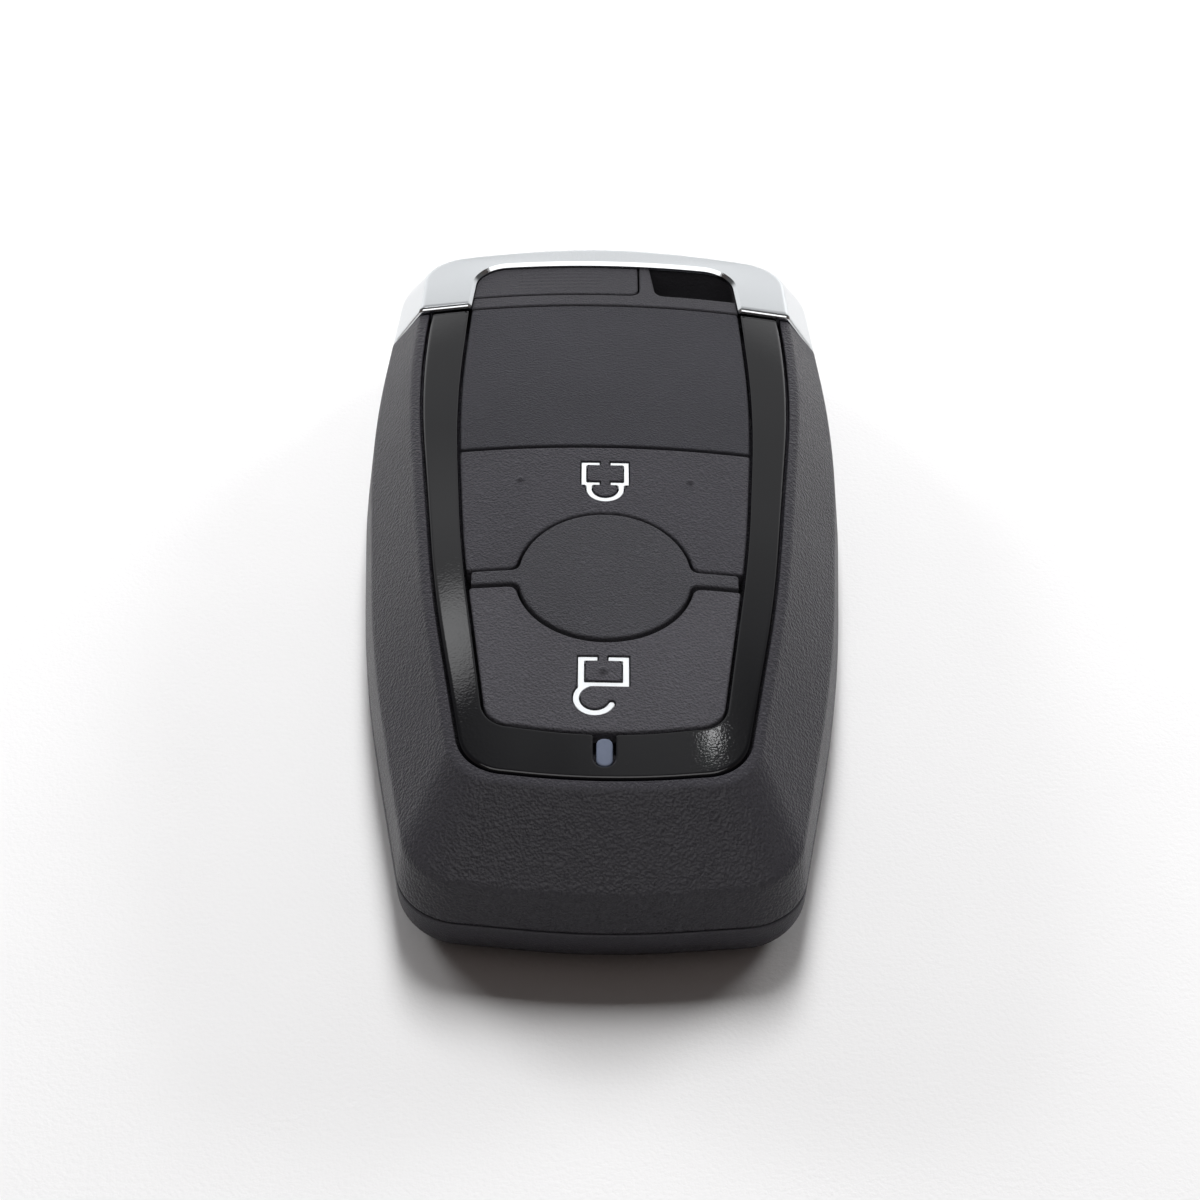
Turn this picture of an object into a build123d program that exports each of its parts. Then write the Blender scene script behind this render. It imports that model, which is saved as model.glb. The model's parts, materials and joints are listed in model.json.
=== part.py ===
from build123d import *
import math
import os

os.makedirs("parts", exist_ok=True)

# ---------------------------------------------------------------------------
# Smart key fob, lying on its back.  Millimetres.
# +X right, +Y towards the bright end cap, +Z up, origin at the centre of the
# bottom face.
# ---------------------------------------------------------------------------

# --- crowned top skin: one surface shared by trim, keys, panel and key head ---
top_z = 15.19            # height of the crest
r_cross = 98.0           # crown radius across the fob
r_long = 294.0           # crown radius along the fob
cap_proud = 0.5          # the bright cap stands this much above that skin

# --- levels ---
part_z = 4.30            # parting line of the two shells
part_gap = 0.08          # half of the visible slit at the parting line
soft_z = 8.45            # soft edge between side wall and bevel, at y = 0
soft_rise = 0.0164       # rise of that edge per mm of y
bevel_z = 14.2           # level just above the highest point of the rim
apex_z = 16.0            # construction level above the crest

# --- shells ---
wall = 1.5
floor_t = 1.2
seam_y = 27.25           # seam between the fob and the key insert
seam_half = 0.10
far_wall_y = 25.4        # inner face of the housing's end wall
roof_lo, roof_hi = 10.30, 11.10
ceiling_in = 1.8
bottom_round = 3.0

# --- trim ring ---
trim_t = 1.3
trim_gap = 0.11
led_notch_w = 1.80
led_y0, led_y1 = -27.45, -30.10
led_w = 1.20

# --- keys ---
key_gap = 0.14           # half gap on each side of a parting line between keys
key_bezel_gap = 0.15
key_floor = 12.60        # underside of the thin key shells
foot_lo, foot_hi = 11.65, 12.15
foot_out = 0.7
foot_in = 1.6
travel = 0.5
panel_lock_y = 5.90
arm_hi_y, arm_lo_y = -9.37, -11.14
disc_y, disc_r = -10.15, 7.28
disc_proud = 0.12        # the centre key stands this much above the skin
lock_y, unlock_y = 1.2, -21.5
plunger_lo = 10.80
mark_depth = 0.30
mark_low = 0.03

# --- key insert ---
arch_far_y = 34.10
arch_half_near = 12.42
arch_half_far = 11.85
arch_corner = 2.9
cap_wall = 1.3
cap_roof_z = 11.25
lining, lining_low = 0.60, 0.12   # black lining under the lip of the arch
blade_w, blade_lo, blade_hi = 7.2, 5.35, 7.05
blade_tip_y = -24.0
blade_clear = 0.25
boss_half, boss_lo, boss_hi, boss_y = 6.0, 4.90, 7.60, 23.3
pin_y, pin_r = 31.0, 0.75
rel_x0, rel_x1 = -11.70, 3.08
rel_y0, rel_y1 = 29.25, 33.92
rel_floor = 11.60
rel_travel = 0.7
arm_x0, arm_x1 = -10.5, -5.5
arm_lo, arm_hi = 9.30, 10.10

# --- inside ---
batt_y, batt_r, batt_lo, batt_h = -12.0, 10.0, 1.40, 3.20
chassis_lo, chassis_hi = 4.75, 7.65
pcb_lo, pcb_t = 7.70, 0.80
pcb_hi = pcb_lo + pcb_t
mat_lo, mat_hi = 9.50, 10.00

# --- outlines: corners of the right half, from the far centre to the near
#     centre, and the radius that rounds each corner ---
P = ([(0.0, 39.50), (19.40, 38.60), (21.45, 12.0), (20.0, -12.8), (15.40, -38.15), (0.0, -39.66)],
     [80.0, 6.5, 120.0, 150.0, 5.5, 60.0])
S = ([(0.0, 39.00), (18.75, 38.20), (21.0, 14.0), (19.3, -12.8), (15.15, -36.75), (0.0, -39.10)],
     [80.0, 6.2, 120.0, 150.0, 5.5, 60.0])
R = ([(0.0, 36.75), (16.75, 35.75), (17.6, 16.0), (15.05, -11.5), (11.8, -31.05), (0.0, -32.90)],
     [80.0, 3.6, 120.0, 150.0, 4.6, 40.0])
rim_z = [12.9, 12.0, 13.23, 13.81, 13.15, 13.40]      # height of the skin at each corner of R
end_y = 28.3
BO = ([(16.10, end_y), (16.7, 16.0), (14.15, -11.5), (11.05, -30.15), (0.0, -32.0)],
      [0.0, 120.0, 150.0, 4.3, 40.0])
BI = ([(12.45, end_y), (13.1, 12.0), (11.95, -6.5), (9.45, -25.75), (0.0, -27.6)],
      [0.0, 150.0, 150.0, 2.6, 30.0])

axis_z = top_z - r_long


def skin(x, y, d=0.0):
    """Height of the crowned skin, raised by d."""
    side = r_cross + d - math.sqrt((r_cross + d) ** 2 - x * x)
    rad = r_long + d - side
    return axis_z + math.sqrt(rad * rad - y * y)


def crossing(p, u, q, v):
    """Point where the line p + s u meets the line q + t v."""
    det = u[0] * v[1] - u[1] * v[0]
    s = ((q[0] - p[0]) * v[1] - (q[1] - p[1]) * v[0]) / det
    return (p[0] + s * u[0], p[1] + s * u[1])


def shifted(shape, d=0.0):
    """The outline with every side moved outwards by d."""
    verts, radii = shape
    if not d:
        return shape
    lines = []
    for (ax, ay), (bx, by) in zip(verts[:-1], verts[1:]):
        n = math.hypot(bx - ax, by - ay)
        ux, uy = (bx - ax) / n, (by - ay) / n
        lines.append(((ax - uy * d, ay + ux * d), (ux, uy)))
    first = crossing(*lines[0], (0, end_y), (1, 0)) if radii[0] == 0 else crossing(*lines[0], (0, 0), (0, 1))
    out = [first] + [crossing(*m, *n) for m, n in zip(lines[:-1], lines[1:])] + [crossing(*lines[-1], (0, 0), (0, 1))]
    return out, [r + d if r else 0.0 for r in radii]


def ring_face(shape):
    """Closed symmetric face from a half outline, in the current sketch."""
    verts, radii = shape
    with BuildLine() as rim:
        if radii[0]:
            full = verts + [(-x, y) for x, y in verts[-2:0:-1]]
            FilletPolyline(*full, radius=radii + radii[-2:0:-1], close=True)
        else:
            full = verts + [(-x, y) for x, y in verts[-2::-1]]
            FilletPolyline(*full, radius=radii[1:] + radii[-2:0:-1])
            Line(full[-1], full[0])
    make_face(rim.edges())


soft_plane = Plane(origin=(0, 0, soft_z), x_dir=(1, 0, 0),
                   z_dir=(0, -math.sin(math.atan(soft_rise)), math.cos(math.atan(soft_rise))))


def level(z, d=0.0):
    """Outline of the bevel at height z, moved outwards by d."""
    verts, radii = [], []
    for (sx, sy), (rx, ry), zr, rs, rr in zip(S[0], R[0], rim_z, S[1], R[1]):
        t = (z - soft_z - soft_rise * sy) / (zr - soft_z - soft_rise * sy)
        verts.append((sx + t * (rx - sx), sy + t * (ry - sy)))
        radii.append(rs + t * (rr - rs))
    return shifted((verts, radii), d)


def crown(d):
    """Everything under the crowned skin raised by d."""
    a = math.radians(9.0)
    start = Plane(origin=(0, 0, axis_z), x_dir=(1, 0, 0), z_dir=(0, -math.cos(a), math.sin(a)))
    half, low, rad = 24.0, r_long - 22.0, r_long + d
    side = rad - (r_cross + d - math.sqrt((r_cross + d) ** 2 - half * half))
    with BuildPart() as block:
        with BuildSketch(start):
            with BuildLine():
                ThreePointArc((-half, side), (0, rad), (half, side))
                Polyline((half, side), (half, low), (-half, low), (-half, side))
            make_face()
        revolve(axis=Axis((0, 0, axis_z), (1, 0, 0)), revolution_arc=18.0)
    return block.part


def span(y0, y1, z0=-1.0, z1=17.0, x0=-25.0, x1=25.0):
    """A plain private block between two y planes, used to trim."""
    return Pos((x0 + x1) / 2, (y0 + y1) / 2, (z0 + z1) / 2) * Box(x1 - x0, y1 - y0, z1 - z0, mode=Mode.PRIVATE)


skin_block = crown(0.0)
cap_block = crown(cap_proud)
trim_floor_block = crown(-trim_t)

# --- the whole outer body, before it is cut into pieces ---
with BuildPart() as upper_body:
    with BuildSketch(Plane.XY.offset(part_z)):
        ring_face(shifted(P))
    with BuildSketch(soft_plane):
        ring_face(shifted(S))
    loft(ruled=True)
    with BuildSketch(soft_plane):
        ring_face(shifted(S))
    with BuildSketch(Plane.XY.offset(bevel_z)):
        ring_face(level(bevel_z))
    loft(ruled=True)
    with BuildSketch(Plane.XY.offset(bevel_z)):
        ring_face(level(bevel_z))
    extrude(amount=apex_z - bevel_z)

# the bottom edge is rounded in six steps of a quarter circle
steps = [math.radians(a) for a in (0, 15, 30, 45, 60, 75, 90)]
rounding = [(bottom_round * (1 - math.cos(a)), -bottom_round * (1 - math.sin(a))) for a in steps]
with BuildPart() as lower_body:
    for (za, da), (zb, db) in zip(rounding[:-1], rounding[1:]):
        with BuildSketch(Plane.XY.offset(za)):
            ring_face(shifted(P, da))
        with BuildSketch(Plane.XY.offset(zb)):
            ring_face(shifted(P, db))
        loft(ruled=True)
    with BuildSketch(Plane.XY.offset(bottom_round)):
        ring_face(shifted(P))
    extrude(amount=part_z - bottom_round)

# --- space inside the two shells ---
with BuildPart() as upper_room:
    with BuildSketch(Plane.XY.offset(part_z)):
        ring_face(shifted(P, -wall))
    with BuildSketch(soft_plane):
        ring_face(shifted(S, -wall - 0.1))
    loft(ruled=True)
    with BuildSketch(soft_plane):
        ring_face(shifted(S, -wall - 0.1))
    with BuildSketch(Plane.XY.offset(roof_lo)):
        ring_face(level(roof_lo, -ceiling_in))
    loft(ruled=True)
    add(span(-50, far_wall_y), mode=Mode.INTERSECT)

with BuildPart() as lower_room:
    with BuildSketch(Plane.XY.offset(floor_t)):
        ring_face(shifted(P, -wall - 0.5))
    with BuildSketch(Plane.XY.offset(2.6)):
        ring_face(shifted(P, -wall))
    loft(ruled=True)
    with BuildSketch(Plane.XY.offset(2.6)):
        ring_face(shifted(P, -wall))
    extrude(amount=part_z - 2.6)
    add(span(-50, far_wall_y), mode=Mode.INTERSECT)

# --- front housing: bevelled shell with a pocket for trim, panel and keys ---
with BuildPart() as front_housing:
    add(upper_body.part)
    add(skin_block, mode=Mode.INTERSECT)
    add(span(-50, seam_y - seam_half, part_z + part_gap), mode=Mode.INTERSECT)
    add(upper_room.part, mode=Mode.SUBTRACT)
    with BuildSketch(Plane.XY.offset(10.0)):
        ring_face(shifted(BO, trim_gap))
    pocket = extrude(amount=8.0, mode=Mode.PRIVATE)
    add(pocket - trim_floor_block, mode=Mode.SUBTRACT)
    with BuildSketch(Plane.XY.offset(roof_hi)):
        ring_face(shifted(BI, 1.0))
    extrude(amount=6.0, mode=Mode.SUBTRACT)
    # windows in the roof for the key plungers
    with BuildSketch(Plane.XY.offset(roof_lo - 0.5)):
        with Locations((0, lock_y), (0, unlock_y)):
            RectangleRounded(8.0, 4.6, 0.8)
        with Locations((0, disc_y)):
            Circle(3.6)
    extrude(amount=roof_hi - roof_lo + 1.0, mode=Mode.SUBTRACT)
    # shaft for the light pipe
    with BuildSketch(Plane.XY.offset(roof_lo - 0.5)):
        with Locations((0, (led_y0 + led_y1) / 2)):
            RectangleRounded(led_w + 0.1, led_y0 - led_y1 + 0.1, 0.45)
    extrude(amount=5.0, mode=Mode.SUBTRACT)
    # end wall: slot for the key boss and window for the latch arm
    add(span(far_wall_y - 0.5, seam_y, part_z, boss_hi + 0.25, -boss_half - 0.25, boss_half + 0.25), mode=Mode.SUBTRACT)
    add(span(far_wall_y - 0.5, seam_y, arm_lo - rel_travel - 0.2, arm_hi + 0.2, arm_x0 - 0.25, arm_x1 + 0.25),
        mode=Mode.SUBTRACT)
front_housing.part.label = "front_housing"
export_step(front_housing.part, "parts/front_housing.step")

# --- back cover: tray with rounded bottom edge and a cradle for the cell ---
with BuildPart() as back_cover:
    add(lower_body.part)
    add(span(-50, seam_y - seam_half, -1, part_z - part_gap), mode=Mode.INTERSECT)
    add(lower_room.part, mode=Mode.SUBTRACT)
    with BuildSketch(Plane.XY.offset(floor_t)):
        with Locations((0, batt_y)):
            Circle(batt_r + 1.1)
            Circle(batt_r + 0.15, mode=Mode.SUBTRACT)
            Rectangle(30, 7, mode=Mode.SUBTRACT)
    extrude(amount=2.4)
    with BuildSketch(Plane.XY.offset(floor_t)):
        with Locations((0, 8.0), (0, 15.5)):
            Rectangle(24, 0.9)
        with Locations((-11.5, 12), (11.5, 12)):
            Rectangle(0.9, 18)
    extrude(amount=1.5)
back_cover.part.label = "back_cover"
export_step(back_cover.part, "parts/back_cover.step")

# --- sealing gasket between the shells ---
with BuildPart() as seal_gasket:
    with BuildSketch(Plane.XY.offset(3.5)):
        ring_face(shifted(P, -wall - 0.20))
        with BuildSketch(mode=Mode.PRIVATE) as inner:
            ring_face(shifted(P, -wall - 0.85))
        add(inner.sketch, mode=Mode.SUBTRACT)
    extrude(amount=1.1)
    add(span(-50, far_wall_y - 0.05), mode=Mode.INTERSECT)
    with BuildSketch(Plane.XY.offset(3.5)):
        with Locations((0, far_wall_y - 0.35)):
            Rectangle(37.2, 0.6)
    extrude(amount=1.1)
seal_gasket.part.label = "seal_gasket"
export_step(seal_gasket.part, "parts/seal_gasket.step")

# --- gloss trim ring, open towards the cap ---
with BuildPart() as trim_ring:
    with BuildSketch(Plane.XY.offset(9.0)):
        ring_face(shifted(BO, -trim_gap))
        with BuildSketch(mode=Mode.PRIVATE) as inner:
            ring_face(shifted(BI, trim_gap))
        add(inner.sketch, mode=Mode.SUBTRACT)
        with Locations((0, led_y0 + 1.0)):
            Rectangle(led_notch_w, 2.0 + 2 * (led_y0 - led_y1) - 0.8, mode=Mode.SUBTRACT)
        with Locations((0, led_y1 + 0.6)):
            Circle(led_notch_w / 2, mode=Mode.SUBTRACT)
    extrude(amount=8.0)
    add(skin_block, mode=Mode.INTERSECT)
    add(trim_floor_block, mode=Mode.SUBTRACT)
    add(span(-50, seam_y - seam_half), mode=Mode.INTERSECT)
trim_ring.part.label = "trim_ring"
export_step(trim_ring.part, "parts/trim_ring.step")

# --- light pipe, from the lamp to the notch in the trim ring ---
with BuildPart() as light_pipe:
    with BuildSketch(Plane.XY.offset(9.25)):
        with Locations((0, (led_y0 + led_y1) / 2)):
            RectangleRounded(led_w, led_y0 - led_y1, 0.42)
    extrude(amount=6.0)
    add(skin_block, mode=Mode.INTERSECT)
light_pipe.part.label = "light_pipe"
export_step(light_pipe.part, "parts/light_pipe.step")


def key_region(y0, y1, d, cut_disc=0.0):
    """Face inside the trim ring between two y lines, in the current sketch."""
    ring_face(shifted(BI, d))
    with Locations((0, (y0 + y1) / 2)):
        Rectangle(60, y1 - y0, mode=Mode.INTERSECT)
    if cut_disc:
        with Locations((0, disc_y)):
            Circle(cut_disc, mode=Mode.SUBTRACT)


def key_feet(y0, y1):
    """Foot band under the trim ring, in the current sketch."""
    key_region(y0, y1, foot_out)
    with BuildSketch(mode=Mode.PRIVATE) as inner:
        ring_face(shifted(BI, -foot_in))
    add(inner.sketch, mode=Mode.SUBTRACT)


def key_skirt(y0, y1):
    """Wall that joins the key shell to its feet, in the current sketch."""
    key_region(y0, y1, -key_bezel_gap)
    with BuildSketch(mode=Mode.PRIVATE) as inner:
        ring_face(shifted(BI, -foot_in))
    add(inner.sketch, mode=Mode.SUBTRACT)


def padlock_closed():
    """Closed padlock mark: body with split bars, U shackle below it."""
    cx, w, t = 0.0, 4.12, 0.48
    with Locations((cx, 2.36)):
        Rectangle(w, 3.0)
        Rectangle(w - 2 * t, 3.0 - 0.84, mode=Mode.SUBTRACT)
        Rectangle(0.85, 3.2, mode=Mode.SUBTRACT)
    with Locations((cx, 0.42)):
        Circle(1.63)
        Circle(1.11, mode=Mode.SUBTRACT)
    with Locations((cx, 1.62)):
        Rectangle(2.22, 0.9, mode=Mode.SUBTRACT)


def padlock_open():
    """Open padlock mark: full body, hooked shackle below it."""
    cx = -0.10
    with Locations((cx, -20.64)):
        Rectangle(4.16, 3.12)
        Rectangle(4.16 - 1.14, 3.12 - 0.94, mode=Mode.SUBTRACT)
    with Locations((cx - 0.05, -19.3)):
        Rectangle(0.80, 0.9, mode=Mode.SUBTRACT)
    with BuildLine() as hook:
        ThreePointArc((-1.62, -22.15), (-0.86, -24.86), (0.55, -24.0))
    trace(hook.edges(), line_width=0.56)


# --- fixed blank panel ---
with BuildPart() as blank_panel:
    with BuildSketch(Plane.XY.offset(key_floor)):
        key_region(panel_lock_y + key_gap, seam_y - seam_half, -key_bezel_gap - 0.05)
    extrude(amount=5.0)
    with BuildSketch(Plane.XY.offset(foot_lo)):
        key_skirt(panel_lock_y + key_gap, seam_y - seam_half)
    extrude(amount=key_floor - foot_lo)
    with BuildSketch(Plane.XY.offset(foot_lo)):
        key_feet(panel_lock_y + key_gap, 18.0)
    extrude(amount=foot_hi - foot_lo - 0.2)
    add(skin_block, mode=Mode.INTERSECT)
    # posts down to the roof
    with BuildSketch(Plane.XY.offset(roof_hi)):
        with Locations((-7, 11), (7, 11), (-7, 22), (7, 22)):
            Circle(1.1)
    extrude(amount=key_floor - roof_hi)
blank_panel.part.label = "blank_panel"
export_step(blank_panel.part, "parts/blank_panel.step")

# --- padlock marks, inlaid in the keys ---
mark_top, mark_floor = crown(-mark_low), crown(-mark_depth)
with BuildPart() as lock_mark:
    with BuildSketch(Plane.XY.offset(13.0)):
        padlock_closed()
    extrude(amount=4.0)
    add(mark_top, mode=Mode.INTERSECT)
    add(mark_floor, mode=Mode.SUBTRACT)
lock_mark.part.label = "lock_mark"
export_step(lock_mark.part, "parts/lock_mark.step")

with BuildPart() as unlock_mark:
    with BuildSketch(Plane.XY.offset(13.0)):
        padlock_open()
    extrude(amount=4.0)
    add(mark_top, mode=Mode.INTERSECT)
    add(mark_floor, mode=Mode.SUBTRACT)
unlock_mark.part.label = "unlock_mark"
export_step(unlock_mark.part, "parts/unlock_mark.step")

# --- lock key ---
with BuildPart() as lock_button:
    y0, y1 = arm_hi_y + key_gap, panel_lock_y - key_gap
    with BuildSketch(Plane.XY.offset(key_floor)):
        key_region(y0, y1, -key_bezel_gap, disc_r + key_gap)
    extrude(amount=5.0)
    with BuildSketch(Plane.XY.offset(foot_lo)):
        key_skirt(y0, y1)
    extrude(amount=key_floor - foot_lo)
    with BuildSketch(Plane.XY.offset(foot_lo)):
        key_feet(y0, y1)
    extrude(amount=foot_hi - foot_lo)
    add(skin_block, mode=Mode.INTERSECT)
    with BuildSketch(Plane.XY.offset(13.0)):
        padlock_closed()
    well = extrude(amount=4.0, mode=Mode.PRIVATE)
    add(well - mark_floor, mode=Mode.SUBTRACT)
    with BuildSketch(Plane.XY.offset(plunger_lo)):
        with Locations((0, lock_y + 0.6)):
            Rectangle(5.0, 2.6)
    extrude(amount=key_floor - plunger_lo)
    for sx in (-1, 1):
        add(Pos(sx * 7.25, 1.62, skin(7.25, 1.62) - 0.28) * Sphere(0.42, mode=Mode.PRIVATE))
lock_button.part.label = "lock_button"
export_step(lock_button.part, "parts/lock_button.step")

# --- unlock key ---
with BuildPart() as unlock_button:
    y0, y1 = -40.0, arm_lo_y - key_gap
    with BuildSketch(Plane.XY.offset(key_floor)):
        key_region(y0, y1, -key_bezel_gap, disc_r + key_gap)
    extrude(amount=5.0)
    with BuildSketch(Plane.XY.offset(foot_lo)):
        key_skirt(-24.0, y1)
    extrude(amount=key_floor - foot_lo)
    with BuildSketch(Plane.XY.offset(foot_lo)):
        key_feet(-22.0, y1)
    extrude(amount=foot_hi - foot_lo)
    add(skin_block, mode=Mode.INTERSECT)
    with BuildSketch(Plane.XY.offset(13.0)):
        padlock_open()
    well = extrude(amount=4.0, mode=Mode.PRIVATE)
    add(well - mark_floor, mode=Mode.SUBTRACT)
    with BuildSketch(Plane.XY.offset(plunger_lo)):
        with Locations((0, unlock_y)):
            Rectangle(5.0, 2.6)
    extrude(amount=key_floor - plunger_lo)
    add(Pos(-0.12, -20.62, skin(0, -20.6) - 0.32) * Sphere(0.50, mode=Mode.PRIVATE))
unlock_button.part.label = "unlock_button"
export_step(unlock_button.part, "parts/unlock_button.step")

# --- centre key: disc with two arms ---
with BuildPart() as centre_button:
    arm_half = 11.02
    arm_mid = (arm_hi_y + arm_lo_y) / 2
    with BuildSketch(Plane.XY.offset(key_floor)):
        with Locations((0, arm_mid)):
            Rectangle(2 * arm_half, arm_hi_y - arm_lo_y - 2 * key_gap)
        with Locations((0, disc_y)):
            Circle(disc_r - key_gap)
    extrude(amount=5.0)
    add(crown(disc_proud), mode=Mode.INTERSECT)
    with BuildSketch(Plane.XY.offset(foot_lo)):
        with Locations((0, disc_y)):
            Circle(8.0)
            Circle(5.9, mode=Mode.SUBTRACT)
    extrude(amount=0.4)
    with BuildSketch(Plane.XY.offset(foot_lo)):
        with Locations((0, disc_y)):
            Circle(disc_r - key_gap)
            Circle(5.9, mode=Mode.SUBTRACT)
    extrude(amount=key_floor - foot_lo)
    with BuildSketch(Plane.XY.offset(plunger_lo)):
        with Locations((0, disc_y)):
            Circle(2.0)
    extrude(amount=key_floor - plunger_lo)
centre_button.part.label = "centre_button"
export_step(centre_button.part, "parts/centre_button.step")

# --- silicone keypad mat and its three domes ---
with BuildPart() as keypad_mat:
    with BuildSketch(Plane.XY.offset(mat_lo)):
        with Locations((0, -10.0)):
            RectangleRounded(23.0, 31.0, 3.0)
        with Locations((0, lock_y), (0, unlock_y), (0, disc_y)):
            Circle(1.9, mode=Mode.SUBTRACT)
    extrude(amount=mat_hi - mat_lo)
keypad_mat.part.label = "keypad_mat"
export_step(keypad_mat.part, "parts/keypad_mat.step")


def dome(y):
    """Hollow silicone dome standing in a hole of the mat."""
    with BuildPart() as d:
        with BuildSketch(Plane.XZ.offset(-y)):
            with BuildLine():
                Polyline((0, plunger_lo), (1.0, plunger_lo), (1.85, mat_hi), (1.85, mat_lo), (1.45, mat_lo),
                         (1.45, mat_hi - 0.1), (0.8, plunger_lo - 0.35), (0, plunger_lo - 0.35), (0, plunger_lo))
            make_face()
        revolve(axis=Axis((0, y, 0), (0, 0, 1)))
    return d.part


with BuildPart() as lock_dome:
    add(dome(lock_y))
lock_dome.part.label = "lock_dome"
export_step(lock_dome.part, "parts/lock_dome.step")
with BuildPart() as unlock_dome:
    add(dome(unlock_y))
unlock_dome.part.label = "unlock_dome"
export_step(unlock_dome.part, "parts/unlock_dome.step")
with BuildPart() as centre_dome:
    add(dome(disc_y))
centre_dome.part.label = "centre_dome"
export_step(centre_dome.part, "parts/centre_dome.step")

# --- circuit board ---
with BuildPart() as circuit_board:
    with BuildSketch(Plane.XY.offset(pcb_lo)):
        ring_face(shifted(S, -2.5))
        with Locations((0, -6.0)):
            Rectangle(60, 54.6, mode=Mode.INTERSECT)
    extrude(amount=pcb_t)
circuit_board.part.label = "circuit_board"
export_step(circuit_board.part, "parts/circuit_board.step")


def tact(y):
    """Low tactile switch: body and round metal dome."""
    with BuildPart() as s:
        with BuildSketch(Plane.XY.offset(pcb_hi)):
            with Locations((0, y)):
                Rectangle(3.6, 2.8)
        extrude(amount=0.7)
        with BuildSketch(Plane.XY.offset(pcb_hi + 0.7)):
            with Locations((0, y)):
                Circle(0.9)
        extrude(amount=0.25)
    return s.part


with BuildPart() as lock_switch:
    add(tact(lock_y))
lock_switch.part.label = "lock_switch"
export_step(lock_switch.part, "parts/lock_switch.step")
with BuildPart() as unlock_switch:
    add(tact(unlock_y))
unlock_switch.part.label = "unlock_switch"
export_step(unlock_switch.part, "parts/unlock_switch.step")
with BuildPart() as centre_switch:
    add(tact(disc_y))
centre_switch.part.label = "centre_switch"
export_step(centre_switch.part, "parts/centre_switch.step")

with BuildPart() as microcontroller:
    with BuildSketch(Plane.XY.offset(pcb_hi)):
        with Locations((9.0, 12.0)):
            Rectangle(6.0, 6.0)
    extrude(amount=0.9)
    chamfer(microcontroller.edges().filter_by(Axis.Z), 0.3)
microcontroller.part.label = "microcontroller"
export_step(microcontroller.part, "parts/microcontroller.step")

with BuildPart() as radio_chip:
    with BuildSketch(Plane.XY.offset(pcb_hi)):
        with Locations((-9.0, 13.0)):
            Rectangle(4.4, 4.4)
    extrude(amount=0.85)
radio_chip.part.label = "radio_chip"
export_step(radio_chip.part, "parts/radio_chip.step")

with BuildPart() as crystal:
    with BuildSketch(Plane.XY.offset(pcb_hi)):
        with Locations((-2.5, 16.0)):
            RectangleRounded(3.2, 2.5, 0.3)
    extrude(amount=0.8)
crystal.part.label = "crystal"
export_step(crystal.part, "parts/crystal.step")

with BuildPart() as chip_capacitors:
    with BuildSketch(Plane.XY.offset(pcb_hi)):
        with Locations((3.0, 10.5), (3.0, 13.0), (-5.0, 9.5), (-13.5, 6.0), (14.0, 5.0), (14.0, 2.5), (-13.5, 2.5),
                       (9.0, 17.2)):
            Rectangle(1.6, 0.8)
    extrude(amount=0.7)
chip_capacitors.part.label = "chip_capacitors"
export_step(chip_capacitors.part, "parts/chip_capacitors.step")

with BuildPart() as indicator_lamp:
    with BuildSketch(Plane.XY.offset(pcb_hi)):
        with Locations((0, (led_y0 + led_y1) / 2)):
            Rectangle(0.8, 1.6)
    extrude(amount=0.6)
indicator_lamp.part.label = "indicator_lamp"
export_step(indicator_lamp.part, "parts/indicator_lamp.step")

# --- loop antenna for the radio link, a bent strip along the board's near end ---
with BuildPart() as loop_antenna:
    with BuildSketch(Plane.XY.offset(pcb_hi)):
        with Locations((0, -26.0)):
            Rectangle(24.0, 12.0)
            Rectangle(22.8, 10.8, mode=Mode.SUBTRACT)
        with Locations((0, -20.0)):
            Rectangle(30.0, 3.0, mode=Mode.SUBTRACT)
    extrude(amount=0.5)
loop_antenna.part.label = "loop_antenna"
export_step(loop_antenna.part, "parts/loop_antenna.step")

# --- three-axis wake-up coil, hung under the board ---
coil_x, coil_y, coil_lo = 10.2, 12.0, 4.35
with BuildPart() as wake_coil_core:
    with BuildSketch(Plane.XY.offset(coil_lo)):
        with Locations((coil_x, coil_y)):
            Rectangle(7.6, 7.6)
    extrude(amount=0.5)
    with BuildSketch(Plane.XY.offset(coil_lo)):
        with Locations((coil_x, coil_y)):
            Rectangle(5.0, 5.0)
    extrude(amount=pcb_lo - coil_lo)
    with BuildSketch(Plane.XY.offset(pcb_lo - 0.5)):
        with Locations((coil_x, coil_y)):
            Rectangle(7.6, 7.6)
    extrude(amount=0.5)
wake_coil_core.part.label = "wake_coil_core"
export_step(wake_coil_core.part, "parts/wake_coil_core.step")
with BuildPart() as wake_coil_winding:
    with BuildSketch(Plane.XY.offset(coil_lo + 0.55)):
        with Locations((coil_x, coil_y)):
            RectangleRounded(7.2, 7.2, 0.6)
            Rectangle(5.0, 5.0, mode=Mode.SUBTRACT)
    extrude(amount=pcb_lo - coil_lo - 1.1)
wake_coil_winding.part.label = "wake_coil_winding"
export_step(wake_coil_winding.part, "parts/wake_coil_winding.step")

# --- inner frame with the blade channel ---
with BuildPart() as inner_frame:
    with BuildSketch(Plane.XY.offset(chassis_lo)):
        ring_face(shifted(S, -2.6))
        with Locations((0, -5.3)):
            Rectangle(60, 56.2, mode=Mode.INTERSECT)
        with Locations((10.2, -12), (-10.2, -12), (-10.2, 12), (10.2, 12)):
            Rectangle(8.4, 16.0, mode=Mode.SUBTRACT)
    extrude(amount=chassis_hi - chassis_lo)
    add(span(blade_tip_y - 0.8, 24.0, blade_lo - 0.22, blade_hi + 0.22, -blade_w / 2 - blade_clear,
             blade_w / 2 + blade_clear), mode=Mode.SUBTRACT)
inner_frame.part.label = "inner_frame"
export_step(inner_frame.part, "parts/inner_frame.step")

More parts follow.
